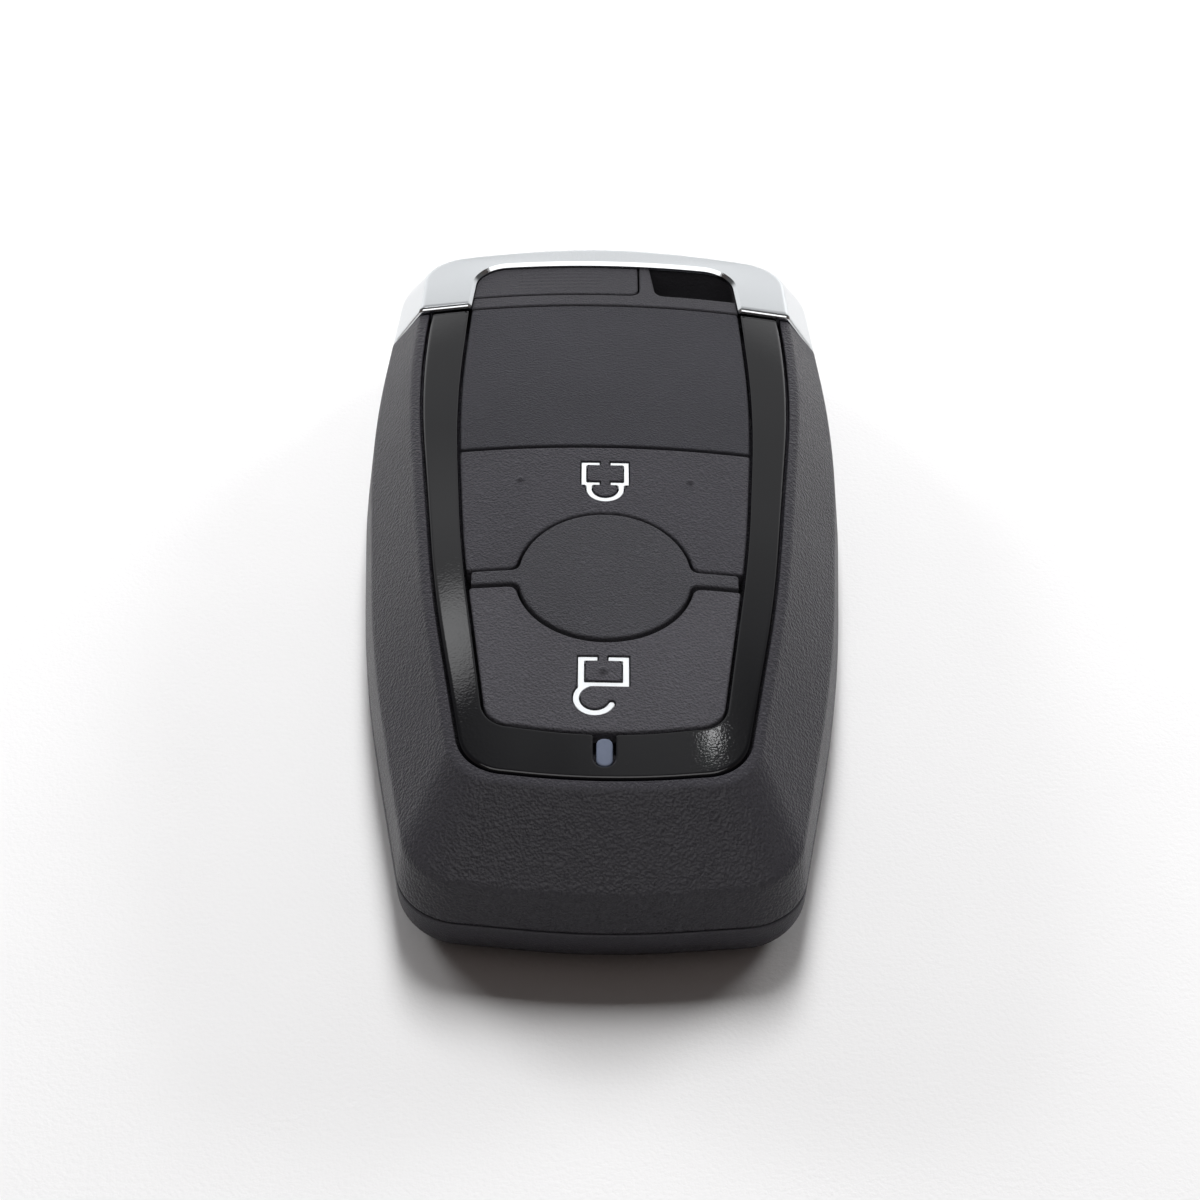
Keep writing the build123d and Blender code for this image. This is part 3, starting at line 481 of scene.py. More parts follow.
def box_mesh(b, lo, hi, r=0.15):
    """A box with chamfered edges, as eight-sided slices along y."""
    (x0, y0, z0), (x1, y1, z1) = lo, hi

    def ring(y, g):
        return b.add([(x0 + r + g, y, z0 + g), (x1 - r - g, y, z0 + g), (x1 - g, y, z0 + r + g), (x1 - g, y, z1 - r - g),
                      (x1 - r - g, y, z1 - g), (x0 + r + g, y, z1 - g), (x0 + g, y, z1 - r - g), (x0 + g, y, z0 + r + g)])
    rings = [ring(y0, r), ring(y0 + r, 0), ring(y1 - r, 0), ring(y1, r)]
    for p, q in zip(rings[:-1], rings[1:]):
        b.band(p, q, True)
    b.face(rings[0][::-1])
    b.face(rings[-1])


# ---------------------------------------------------------------------------
# Materials
# ---------------------------------------------------------------------------
def new_mat(name):
    m = bpy.data.materials.new(name)
    m.use_nodes = True
    nt = m.node_tree
    for x in list(nt.nodes):
        nt.nodes.remove(x)
    out = nt.nodes.new("ShaderNodeOutputMaterial")
    bs = nt.nodes.new("ShaderNodeBsdfPrincipled")
    nt.links.new(bs.outputs["BSDF"], out.inputs["Surface"])
    co = nt.nodes.new("ShaderNodeTexCoord")
    return m, nt, bs, co.outputs["Object"]


def noise(nt, co, scale, detail=3.0, rough=0.55, dist=0.0, stretch=None):
    n = nt.nodes.new("ShaderNodeTexNoise")
    n.inputs["Scale"].default_value = scale
    n.inputs["Detail"].default_value = detail
    n.inputs["Roughness"].default_value = rough
    n.inputs["Distortion"].default_value = dist
    if stretch:
        mp = nt.nodes.new("ShaderNodeMapping")
        mp.inputs["Scale"].default_value = stretch
        nt.links.new(co, mp.inputs["Vector"])
        co = mp.outputs["Vector"]
    nt.links.new(co, n.inputs["Vector"])
    return n.outputs["Fac"]


def voronoi(nt, co, scale, feature="SMOOTH_F1", smooth=0.6, wob=None):
    v = nt.nodes.new("ShaderNodeTexVoronoi")
    v.feature = feature
    v.inputs["Scale"].default_value = scale
    if feature == "SMOOTH_F1":
        v.inputs["Smoothness"].default_value = smooth
    if wob:
        w = nt.nodes.new("ShaderNodeTexNoise")
        w.inputs["Scale"].default_value = scale * 0.8
        w.inputs["Detail"].default_value = 2.0
        nt.links.new(co, w.inputs["Vector"])
        sub = nt.nodes.new("ShaderNodeVectorMath")
        sub.operation = "SUBTRACT"
        sub.inputs[1].default_value = (0.5, 0.5, 0.5)
        nt.links.new(w.outputs["Color"], sub.inputs[0])
        sc = nt.nodes.new("ShaderNodeVectorMath")
        sc.operation = "SCALE"
        sc.inputs["Scale"].default_value = wob / scale
        nt.links.new(sub.outputs[0], sc.inputs[0])
        ad = nt.nodes.new("ShaderNodeVectorMath")
        ad.operation = "ADD"
        nt.links.new(co, ad.inputs[0])
        nt.links.new(sc.outputs[0], ad.inputs[1])
        co = ad.outputs[0]
    nt.links.new(co, v.inputs["Vector"])
    return v.outputs["Distance"]


def span_map(nt, val, lo, hi, a=0.0, b=1.0):
    m = nt.nodes.new("ShaderNodeMapRange")
    m.inputs["From Min"].default_value = a
    m.inputs["From Max"].default_value = b
    m.inputs["To Min"].default_value = lo
    m.inputs["To Max"].default_value = hi
    nt.links.new(val, m.inputs["Value"])
    return m.outputs["Result"]


def math_node(nt, op, a, b):
    m = nt.nodes.new("ShaderNodeMath")
    m.operation = op
    for i, x in enumerate((a, b)):
        if isinstance(x, (int, float)):
            m.inputs[i].default_value = x
        else:
            nt.links.new(x, m.inputs[i])
    return m.outputs[0]


def ramp(nt, val, c0, c1, p0=0.3, p1=0.7):
    r = nt.nodes.new("ShaderNodeValToRGB")
    e = r.color_ramp.elements
    e[0].position, e[1].position = p0, p1
    e[0].color, e[1].color = (*c0, 1), (*c1, 1)
    nt.links.new(val, r.inputs["Fac"])
    return r.outputs["Color"]


def bump(nt, bs, chain_of):
    """chain_of: list of (height socket, distance in metres, strength)."""
    prev = None
    for hgt, dist, st in chain_of:
        bn = nt.nodes.new("ShaderNodeBump")
        bn.inputs["Distance"].default_value = dist
        bn.inputs["Strength"].default_value = st
        nt.links.new(hgt, bn.inputs["Height"])
        if prev is not None:
            nt.links.new(prev, bn.inputs["Normal"])
        prev = bn.outputs["Normal"]
    nt.links.new(prev, bs.inputs["Normal"])
    return prev


def shade(c, k):
    return tuple(x * k for x in c)


def grained(name, col, rough, cell=2900.0, deep=26e-6, fine=5e-6, spec=0.45, vary=0.16, lint=0.0):
    """Moulded plastic with a leather-like grain and a fine satin break-up."""
    m, nt, bs, co = new_mat(name)
    g = voronoi(nt, co, cell, wob=0.9)
    soft = noise(nt, co, cell * 0.55, 3.0, 0.6)
    height = math_node(nt, "ADD", g, math_node(nt, "MULTIPLY", soft, 0.9))
    tiny = noise(nt, co, 16000.0, 2.0, 0.5)
    broad = noise(nt, co, 70.0, 3.0, 0.6)
    base = ramp(nt, math_node(nt, "ADD", math_node(nt, "MULTIPLY", broad, 0.6), math_node(nt, "MULTIPLY", g, 0.5)),
                shade(col, 1 - vary), shade(col, 1 + vary), 0.25, 0.75)
    if lint:
        dots = voronoi(nt, co, 420.0, "F1")
        pick = noise(nt, co, 90.0, 1.0, 0.5)
        fac = math_node(nt, "MULTIPLY", math_node(nt, "LESS_THAN", dots, 0.055), math_node(nt, "GREATER_THAN", pick, 0.62))
        mx = nt.nodes.new("ShaderNodeMix")
        mx.data_type = "RGBA"
        nt.links.new(math_node(nt, "MULTIPLY", fac, lint), mx.inputs[0])
        nt.links.new(base, mx.inputs[6])
        mx.inputs[7].default_value = (0.45, 0.45, 0.45, 1)
        base = mx.outputs[2]
    nt.links.new(base, bs.inputs["Base Color"])
    nt.links.new(span_map(nt, math_node(nt, "ADD", math_node(nt, "MULTIPLY", soft, 0.5), math_node(nt, "MULTIPLY", broad, 0.5)),
                          rough - 0.05, rough + 0.07, 0.3, 0.7), bs.inputs["Roughness"])
    bs.inputs["Specular IOR Level"].default_value = spec
    bump(nt, bs, [(height, deep, 1.0), (tiny, fine, 1.0)])
    return m


def gloss(name, col, rough=0.09, peel=1.2e-6):
    """Polished black plastic with faint moulding ripple, dust and hairline scuffs."""
    m, nt, bs, co = new_mat(name)
    broad = noise(nt, co, 90.0, 2.0, 0.5)
    scuff = noise(nt, co, 900.0, 4.0, 0.7, 0.4, (1.0, 0.22, 1.0))
    orange = noise(nt, co, 1500.0, 2.0, 0.5)
    haze = noise(nt, co, 4800.0, 1.0, 0.5)
    nt.links.new(ramp(nt, broad, shade(col, 0.85), shade(col, 1.2)), bs.inputs["Base Color"])
    r = math_node(nt, "ADD", span_map(nt, broad, rough - 0.02, rough + 0.03, 0.3, 0.7),
                  span_map(nt, scuff, 0.0, 0.06, 0.58, 0.85))
    nt.links.new(r, bs.inputs["Roughness"])
    bs.inputs["Specular IOR Level"].default_value = 0.5
    bump(nt, bs, [(orange, peel, 1.0), (haze, 3.4e-6, 1.0)])
    return m


def satin(name, col, rough=0.32, metal=1.0, speck=2.2e-6):
    """Satin plated finish: fine sparkle and soft clouding."""
    m, nt, bs, co = new_mat(name)
    cloud = noise(nt, co, 120.0, 3.0, 0.6)
    fine = noise(nt, co, 9000.0, 3.0, 0.65)
    nt.links.new(ramp(nt, cloud, shade(col, 0.94), shade(col, 1.03)), bs.inputs["Base Color"])
    bs.inputs["Metallic"].default_value = metal
    nt.links.new(math_node(nt, "ADD", span_map(nt, cloud, rough - 0.04, rough + 0.05, 0.3, 0.7),
                           span_map(nt, fine, -0.05, 0.05, 0.3, 0.7)), bs.inputs["Roughness"])
    bump(nt, bs, [(fine, speck, 1.0)])
    return m


def brushed(name, col, rough=0.28, along=(1.0, 0.02, 1.0), lines=9000.0, depth=1.6e-6):
    m, nt, bs, co = new_mat(name)
    br = noise(nt, co, lines, 3.0, 0.7, 0.0, along)
    cloud = noise(nt, co, 150.0, 3.0, 0.6)
    nt.links.new(ramp(nt, math_node(nt, "ADD", math_node(nt, "MULTIPLY", br, 0.5), math_node(nt, "MULTIPLY", cloud, 0.5)),
                      shade(col, 0.85), shade(col, 1.08)), bs.inputs["Base Color"])
    bs.inputs["Metallic"].default_value = 1.0
    nt.links.new(span_map(nt, br, rough - 0.08, rough + 0.1, 0.3, 0.7), bs.inputs["Roughness"])
    bump(nt, bs, [(br, depth, 1.0)])
    return m


def plain(name, col, rough, metal=0.0, scale=900.0, depth=6e-6, vary=0.12, spec=0.5):
    m, nt, bs, co = new_mat(name)
    n1, n2 = noise(nt, co, scale, 4.0, 0.6), noise(nt, co, scale * 7, 2.0, 0.5)
    nt.links.new(ramp(nt, n1, shade(col, 1 - vary), shade(col, 1 + vary)), bs.inputs["Base Color"])
    nt.links.new(span_map(nt, n1, rough - 0.06, rough + 0.06, 0.3, 0.7), bs.inputs["Roughness"])
    bs.inputs["Metallic"].default_value = metal
    bs.inputs["Specular IOR Level"].default_value = spec
    bump(nt, bs, [(n2, depth, 1.0)])
    return m


charcoal = grained("charcoal_grain", (0.0180, 0.0170, 0.0215), 0.40, 4600.0, 95e-6, 22e-6, 0.38, 0.16, 0.05)
cover_mat = grained("cover_plastic", (0.034, 0.0325, 0.0378), 0.52, 7000.0, 45e-6, 14e-6, 0.20, 0.14, 0.05)
key_mat = grained("key_plastic", (0.0325, 0.0315, 0.0370), 0.50, 5200.0, 110e-6, 28e-6, 0.20, 0.20, 0.05)
# Lighter copy of the key plastic for the unlock key: painted light, standing in for the extra light that falls on the
# nearer key.
lit_unlock_key_mat = grained("unlock_key_lit_plastic", (0.045, 0.0437, 0.0500), 0.50, 5200.0, 110e-6, 28e-6, 0.20, 0.20, 0.05)
panel_mat = grained("panel_plastic", (0.0285, 0.0282, 0.0330), 0.52, 7200.0, 90e-6, 26e-6, 0.12, 0.18, 0.07)
disc_mat = grained("disc_plastic", (0.036, 0.0355, 0.0405), 0.50, 6400.0, 110e-6, 30e-6, 0.18, 0.20, 0.06)
head_mat = grained("head_plastic", (0.036, 0.0352, 0.0397), 0.52, 7200.0, 70e-6, 18e-6, 0.13, 0.16, 0.05)
piano = gloss("piano_black", (0.0035, 0.0035, 0.0042), 0.04)
silver = satin("satin_silver", (0.68, 0.70, 0.715), 0.16)
white = plain("white_mark", (0.66, 0.68, 0.70), 0.42, 0.0, 2500.0, 2.5e-6, 0.03)
window = plain("smoke_window", (0.090, 0.105, 0.145), 0.42, 0.0, 800.0, 1.5e-6, 0.06, 0.20)
steel = brushed("key_steel", (0.62, 0.62, 0.61))
spring_mat = brushed("spring_steel", (0.55, 0.55, 0.56), 0.3)
silicone = plain("silicone", (0.05, 0.05, 0.055), 0.62, 0.0, 1200.0, 5e-6)
rubber = plain("gasket_rubber", (0.02, 0.02, 0.02), 0.75, 0.0, 1500.0, 8e-6)
frame_mat = plain("frame_plastic", (0.06, 0.06, 0.062), 0.55, 0.0, 2500.0, 6e-6)
board = plain("board_green", (0.015, 0.10, 0.045), 0.35, 0.0, 1800.0, 4e-6, 0.25)
chip = plain("chip_black", (0.018, 0.018, 0.02), 0.55, 0.0, 4000.0, 4e-6)
tin = plain("tin_plate", (0.62, 0.61, 0.58), 0.3, 1.0, 1500.0, 2e-6)
ceramic = plain("ceramic", (0.35, 0.25, 0.17), 0.5, 0.0, 3000.0, 3e-6)
lamp = plain("lamp_resin", (0.75, 0.74, 0.55), 0.2, 0.0, 1500.0, 2e-6)
ferrite = plain("ferrite", (0.05, 0.047, 0.045), 0.6, 0.0, 2500.0, 6e-6)
copper = brushed("copper_wire", (0.72, 0.36, 0.16), 0.3, (1.0, 1.0, 0.03), 6000.0, 6e-6)
cell = brushed("cell_steel", (0.66, 0.66, 0.65), 0.25, (1.0, 1.0, 1.0), 2500.0, 1e-6)
slot_mats = {"charcoal_grain": charcoal, "cover_plastic": cover_mat, "piano_black": piano, "key_plastic": key_mat,
             "panel_plastic": panel_mat, "white_mark": white, "smoke_window": window, "satin_silver": silver,
             "head_plastic": head_mat, "key_steel": steel, "spring_steel": spring_mat, "silicone": silicone,
             "gasket_rubber": rubber, "frame_plastic": frame_mat, "board_green": board, "chip_black": chip,
             "tin_plate": tin, "ceramic": ceramic, "lamp_resin": lamp, "ferrite": ferrite, "copper_wire": copper,
             "cell_steel": cell}


def dress(o, mat, body, slot, *nodes):
    o.data.materials.clear()
    o.data.materials.append(mat)
    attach(o, body)
    if nodes:
        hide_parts(*nodes)
    return o


# ---------------------------------------------------------------------------
# Front housing
# ---------------------------------------------------------------------------
def on_skin(strip, d=0.0):
    return at(strip, skin(strip[:, 0], strip[:, 1], d))


def on_soft(strip):
    return at(strip, soft_z + soft_rise * strip[:, 1])


zp = part_z + part_gap
b = Build()
seam_round = 0.12
body_strip = lambda shape: near_strip(shape, y=seam_y - seam_half - seam_round)
P0, S0, R0 = body_strip(P), body_strip(S), body_strip(R)
B0 = body_strip(shifted(BO, trim_gap))
B1 = body_strip(shifted(BI, 1.0))
ctrl = [at(body_strip(shifted(P, -wall)), zp), at(P0, zp), on_soft(S0), on_skin(R0), on_skin(B0),
        on_skin(B0, -trim_t), on_skin(B1, -trim_t), at(B1, roof_lo), at(body_strip(level(roof_lo, -1.8)), roof_lo),
        on_soft(body_strip(shifted(S, -wall - 0.1)))]
rows = rounded_rows(ctrl, [0, 0.16, 1.25, 0.75, 0.12, 0, 0, 0, 0, 0], [1, 3, 9, 6, 3, 1, 1, 1, 1, 1], closed=True)
b.sweep(rows, (seam_round, 0.10, 3))
# roof plate with the windows of the key plungers
roof = ccw(np.concatenate([near_strip(shifted(BI, 1.04))]))


def rrect(cx, cy, w, l, r, n=6):
    pts = []
    for sx, sy, a0 in ((1, 1, 0), (-1, 1, 90), (-1, -1, 180), (1, -1, 270)):
        for k in range(n + 1):
            a = math.radians(a0 + 90 * k / n)
            pts.append((cx + sx * (w / 2 - r) + r * math.cos(a), cy + sy * (l / 2 - r) + r * math.sin(a)))
    return np.array(pts)


def ring_pts(cx, cy, r, n=48):
    a = np.linspace(0, 2 * math.pi, n, endpoint=False)
    return np.stack([cx + r * np.cos(a), cy + r * np.sin(a)], 1)


windows = [rrect(0, 1.2, 8.0, 4.6, 0.8), rrect(0, -21.5, 8.0, 4.6, 0.8), ring_pts(0, disc_y, 3.6)]
tile(b, [roof] + windows, lambda x, y: np.full(np.shape(x), roof_hi), 0.76, 0.04, 1, None)
# end wall towards the key insert, with the slots of the key boss and of the latch
y_end = seam_y - seam_half
inner = np.array([[p[0], p[2]] for p in (ctrl[9][0], ctrl[8][0], ctrl[7][0])])
wall_loop = np.array([[6.25, zp], [ctrl[0][0][0], zp], *inner.tolist(),
                      [-inner[2, 0], roof_lo], [-inner[1, 0], roof_lo], [-inner[0, 0], inner[0, 1]],
                      [-ctrl[0][0][0], zp], [-6.25, zp], [-6.25, 7.85], [6.25, 7.85]])
hatch = np.array([[-10.75, 8.4], [-5.25, 8.4], [-5.25, 10.29], [-10.75, 10.29]])
wall_loop = ccw(wall_loop)
hatch = ccw(hatch, False)


def wall_plate(b, outer, hole, y0, y1):
    ids = []
    for y in (y0, y1):
        o = b.add(np.column_stack([outer[:, 0], np.full(len(outer), y), outer[:, 1]]))
        i = b.add(np.column_stack([hole[:, 0], np.full(len(hole), y), hole[:, 1]]))
        ids.append((o, i))
    b.band(ids[0][0], ids[1][0], True)
    b.band(ids[0][1], ids[1][1], True)
    for o, i in ids:
        b.fill([outer, hole], None, None, np.concatenate([o, i]))


wall_plate(b, wall_loop, hatch, y_end - 0.01, far_wall_y)
housing = b.obj("front_housing_shell")
dress(housing, charcoal, "fob", "charcoal_grain", "front_housing")

# ---------------------------------------------------------------------------
# Back cover
# ---------------------------------------------------------------------------
zc = part_z - part_gap


def cover_like(b, strip_of, y_line, hole=None, inner_floor=None, y_inner=None, z_top=zc):
    """Tray or block with the rounded bottom edge. strip_of(shape) gives the open strip of an outline."""
    def loop(shape):
        return strip_of(shape)
    rws = []
    out = loop(P)
    for k in range(4):                                # small round at the parting line
        a = math.pi / 2 * k / 3
        q = loop(shifted(P, -0.14 * (1 - math.cos(math.pi / 2 - a)) if k < 3 else 0.0))
        rws.append(at(q, z_top - 0.14 * (1 - math.sin(math.pi / 2 - a))))
    rws.append(at(out, bottom_round + 0.12))
    for k in range(13):
        a = math.pi / 2 * k / 12
        q = loop(shifted(P, -bottom_round * (1 - math.cos(a))))
        rws.append(at(q, bottom_round * (1 - math.sin(a))))
    q = loop(shifted(P, -bottom_round - 0.25))
    rws.append(at(q, 0.0))
    ids = [b.add(r) for r in rws]
    for p, s in zip(ids[:-1], ids[1:]):
        b.band(p, s, True)
    return rws, ids


b = Build()
rws, ids = cover_like(b, near_strip, y_end)
bottom = rws[-1][:, :2]
flip = area(bottom) < 0
b.fill([ccw(bottom)], lambda x, y: np.zeros(np.shape(x)), 2.2, ids[-1][::-1] if flip else ids[-1])
top_out = rws[0][:, :2]
in_top = near_strip(shifted(P, -wall), (70, 18, 22), far_wall_y)
in_low = near_strip(shifted(P, -wall - 0.5), (70, 18, 22), far_wall_y)
i0 = b.add(at(in_top, zc))
i1 = b.add(at(in_top, 2.6))
i2 = b.add(at(in_low, floor_t))
b.band(i0, i1, True)
b.band(i1, i2, True)
b.fill([ccw(in_low)], None, None, i2[::-1] if area(in_low) < 0 else i2)
o_ids = ids[0][::-1] if area(top_out) < 0 else ids[0]
n_ids = i0[::-1] if area(in_top) > 0 else i0
b.fill([ccw(top_out), ccw(in_top, False)], None, None, np.concatenate([o_ids, n_ids]))
cover = b.obj("back_cover_shell")
dress(cover, cover_mat, "fob", "cover_plastic", "back_cover")


# ---------------------------------------------------------------------------
# Trim ring, keys, panel
# ---------------------------------------------------------------------------
def right_side(shape, y_hi, y_lo):
    """Right side of an outline from y_hi down to y_lo, or to the near centre if y_lo is None."""
    pts = chain([p for _, p in prims(shape)])
    pts = cut_at(pts[::-1], y_hi)[::-1] if pts[0, 1] > y_hi else pts
    if y_lo is not None:
        pts = cut_at(pts, y_lo)
    return pts


def mirror(p):
    return p[::-1] * np.array([-1, 1])


flat = lambda x, y: skin(x, y)

# trim ring with the notch of the light window
outer = right_side(shifted(BO, -trim_gap), y_end, None)
inner = right_side(shifted(BI, trim_gap), y_end, None)
hw = notch_w / 2
cut = inner[(inner[:, 0] > hw) | (inner[:, 1] > -20)]
y_in_edge = cut[-1][1]
a = np.linspace(0, -math.pi / 2, 13)
notch_y = led_y1 + 0.72
notch = np.stack([hw * np.cos(a), notch_y + hw * np.sin(a)], 1)
seg_outer = np.concatenate([outer, mirror(outer)[1:]])
n_arc_pts = np.concatenate([notch, mirror(notch)[1:]])
loop = joined([seg_outer,
               np.array([[-outer[0][0], y_end], [-inner[0][0], y_end]]),
               mirror(cut)[::-1],
               np.array([[-hw, y_in_edge], [-hw, notch_y]]),
               n_arc_pts[::-1],
               np.array([[hw, notch_y], [hw, y_in_edge]]),
               cut[::-1],
               np.array([[inner[0][0], y_end], [outer[0][0], y_end]])],
              [0.12, 0.12, 0.22, 0.0, 0.0, 0.22, 0.12, 0.12], h=0.4)
loop = ccw(loop)
seg_mid = dens(seg_outer, 0.3)
near_outer = np.sqrt(((loop[:, None, :] - seg_mid[None, :, :]) ** 2).sum(2)).min(1) < 0.3
b = Build()
tile(b, [loop], flat, trim_t, np.where(near_outer, 0.24, 0.08), 5, 0.7)
trim = b.obj("trim_ring_gloss")
dress(trim, piano, "fob", "piano_black", "trim_ring")

# light window
b = Build()
tile(b, [rrect(0, (led_y0 + led_y1) / 2 + 0.12, led_w + 0.10, led_y0 - led_y1, 0.6)], lambda x, y: skin(x, y, -0.20), 3.0, 0.10, 3, 0.3)
led = b.obj("light_window")
dress(led, window, "fob", "smoke_window", "light_pipe")

# blank panel
side = right_side(shifted(BI, -bezel_gap - 0.05), y_end, panel_lock_y + key_gap)
loop = joined([side, np.array([side[-1], [-side[-1][0], side[-1][1]]]), mirror(side),
               np.array([[-side[0][0], y_end], [side[0][0], y_end]])], [0.3, 0.3, 0.3, 0.3])
b = Build()
tile(b, [loop], lambda x, y: skin(x, y, 0.0), 1.2, 0.17, 4, 0.8)
panel = b.obj("blank_panel_skin")
dress(panel, panel_mat, "fob", "panel_plastic", "blank_panel")

# padlock marks
sh = np.linspace(0, -math.pi, 33)
arc_o = np.stack([1.63 * np.cos(sh), 0.42 + 1.63 * np.sin(sh)], 1)
arc_i = np.stack([1.11 * np.cos(sh), 0.42 + 1.11 * np.sin(sh)], 1)
lock_pts = np.concatenate([
    [(0.425, 3.86), (2.06, 3.86), (2.06, 0.86), (1.63, 0.86)], arc_o, [(-1.63, 0.86), (-2.06, 0.86), (-2.06, 3.86),
     (-0.425, 3.86), (-0.425, 3.44), (-1.58, 3.44), (-1.58, 1.28), (-0.425, 1.28), (-0.425, 0.86), (-1.09, 0.86)],
    arc_i[::-1], [(1.09, 0.86), (0.425, 0.86), (0.425, 1.28), (1.58, 1.28), (1.58, 3.44), (0.425, 3.44)]])


def circle3(p, q, r):
    ax, ay, bx, by, cx, cy = *p, *q, *r
    d = 2 * (ax * (by - cy) + bx * (cy - ay) + cx * (ay - by))
    ux = ((ax * ax + ay * ay) * (by - cy) + (bx * bx + by * by) * (cy - ay) + (cx * cx + cy * cy) * (ay - by)) / d
    uy = ((ax * ax + ay * ay) * (cx - bx) + (bx * bx + by * by) * (ax - cx) + (cx * cx + cy * cy) * (bx - ax)) / d
    return ux, uy, math.hypot(ax - ux, ay - uy)


hx, hy, hr = circle3((-1.62, -22.15), (-0.86, -24.86), (0.55, -24.0))
a0 = math.atan2(-22.15 - hy, -1.62 - hx) % (2 * math.pi)
a1 = math.atan2(-24.0 - hy, 0.55 - hx) % (2 * math.pi)
ang = np.linspace(a0 - 0.25, a1, 44)
ho = np.stack([hx + (hr + 0.28) * np.cos(ang), hy + (hr + 0.28) * np.sin(ang)], 1)
hi = np.stack([hx + (hr - 0.28) * np.cos(ang), hy + (hr - 0.28) * np.sin(ang)], 1)
ho, hi = ho[ho[:, 1] < -22.22], hi[hi[:, 1] < -22.22]
tip = np.array([hx + hr * math.cos(a1), hy + hr * math.sin(a1)])
ta = np.linspace(a1, a1 + math.pi, 9)[1:-1]
tip_pts = np.stack([tip[0] + 0.28 * np.cos(ta), tip[1] + 0.28 * np.sin(ta)], 1)
unlock_pts = np.concatenate([
    [(0.25, -19.08), (1.98, -19.08), (1.98, -22.20), (hi[0][0] - 0.0, -22.20)], hi, tip_pts[::-1], ho[::-1],
    [(ho[0][0], -22.20), (-2.18, -22.20), (-2.18, -19.08), (-0.55, -19.08), (-0.55, -19.55), (-1.61, -19.55),
     (-1.61, -21.73), (1.41, -21.73), (1.41, -19.55), (0.25, -19.55)]])


def soften(pts, t=0.08, h=0.22):
    """Closed polygon with tiny rounded corners and even points."""
    pts = np.asarray(pts, float)
    keep = np.linalg.norm(pts - np.roll(pts, 1, 0), axis=1) > 1e-3
    pts = pts[keep]
    out = []
    m = len(pts)
    for i in range(m):
        p, c, q = pts[i - 1], pts[i], pts[(i + 1) % m]
        u, w = p - c, q - c
        lu, lw = np.linalg.norm(u), np.linalg.norm(w)
        cosv = float((u @ w) / (lu * lw))
        if cosv > -0.9 and min(lu, lw) > 0.17:
            a_, b_ = c + u / lu * t, c + w / lw * t
            out += [a_, 0.25 * a_ + 0.5 * c + 0.25 * b_, b_]
        else:
            out.append(c)
    pts = np.array(out)
    fin = []
    for i in range(len(pts)):
        p, q = pts[i], pts[(i + 1) % len(pts)]
        n = max(1, int(np.linalg.norm(q - p) / h))
        fin += [p + (q - p) * k / n for k in range(n)]
    return np.array(fin)


lock_loop, unlock_loop = ccw(soften(lock_pts)), ccw(soften(unlock_pts))


def with_dots(dots):
    """Skin height with small raised domes."""
    def zf(x, y):
        z = skin(x, y)
        for cx, cy, r, hgt in dots:
            d = np.hypot(np.asarray(x) - cx, np.asarray(y) - cy) / r
            z = z + np.where(d < 1, hgt * (0.5 + 0.5 * np.cos(np.pi * np.clip(d, 0, 1))) ** 0.8, 0)
        return z
    return zf


def dot_points(dots):
    pts = []
    for cx, cy, r, _ in dots:
        for q in np.linspace(0, 1.25, 9):
            m = max(1, int(round(2 * math.pi * q * 6)))
            for k in range(m):
                an = 2 * math.pi * k / m
                pts.append((cx + r * q * math.cos(an), cy + r * q * math.sin(an)))
    return np.array(pts)


def key_with_mark(name, loop, mark_loop, dots, r=0.20):
    b = Build()
    zf = with_dots(dots)
    tile(b, [loop, inset(ccw(mark_loop, True), -0.07)[::-1]], zf, 1.3, r, 4, 0.45, None, dot_points(dots), 0.03)
    return b.obj(name)


def mark_piece(name, loop, drop=0.14):
    b = Build()
    tile(b, [inset(loop, 0.045)], lambda x, y: skin(x, y, -drop), 0.35, 0.02, 2, 0.25)
    return b.obj(name)


# lock key
y0, y1 = arm_hi_y + key_gap, panel_lock_y - key_gap
side = right_side(shifted(BI, -bezel_gap), y1, y0)
rr = disc_r + key_gap
xa = math.sqrt(rr ** 2 - (y0 - disc_y) ** 2)
aa = math.atan2(y0 - disc_y, xa)
arc = np.array([(rr * math.cos(t), disc_y + rr * math.sin(t)) for t in np.linspace(math.pi - aa, aa, 60)])
loop = joined([side[::-1], np.array([[side[0][0], y1], [-side[0][0], y1]]), mirror(side[::-1]),
               np.array([[-side[-1][0], y0], [-xa, y0]]), arc, np.array([[xa, y0], [side[-1][0], y0]])],
              [0.3, 0.3, 0.3, 0.75, 0.75, 0.3])
lock_dots = [(-7.25, 1.62, 0.42, 0.20), (7.25, 1.62, 0.42, 0.20)]
lock_key = key_with_mark("lock_key_cap", loop, lock_loop, lock_dots)
dress(lock_key, key_mat, "lock_key", "key_plastic", "lock_button")
lm = mark_piece("lock_mark_inlay", lock_loop)
dress(lm, white, "lock_key", "white_mark", "lock_mark")

# unlock key
y1 = arm_lo_y - key_gap
side = right_side(shifted(BI, -bezel_gap), y1, None)
xa = math.sqrt(rr ** 2 - (y1 - disc_y) ** 2)
aa = math.atan2(y1 - disc_y, xa)
arc = np.array([(rr * math.cos(t), disc_y + rr * math.sin(t)) for t in np.linspace(aa, -math.pi - aa, 60)])
arc = arc if arc[len(arc) // 2][1] < disc_y else arc[::-1]
seg = np.concatenate([side, mirror(side)[1:]])
loop = joined([seg, np.array([[-side[0][0], y1], [-xa, y1]]), arc[::-1], np.array([[xa, y1], [side[0][0], y1]])],
              [0.3, 0.75, 0.75, 0.3])
unlock_dots = [(-0.12, -20.62, 0.50, 0.30)]
unlock_key = key_with_mark("unlock_key_cap", loop, unlock_loop, unlock_dots)
# The unlock key wears the lighter copy of the key plastic: painted light on the nearer key.
dress(unlock_key, lit_unlock_key_mat, "unlock_key", "key_plastic", "unlock_button")
um = mark_piece("unlock_mark_inlay", unlock_loop)
dress(um, white, "unlock_key", "white_mark", "unlock_mark")

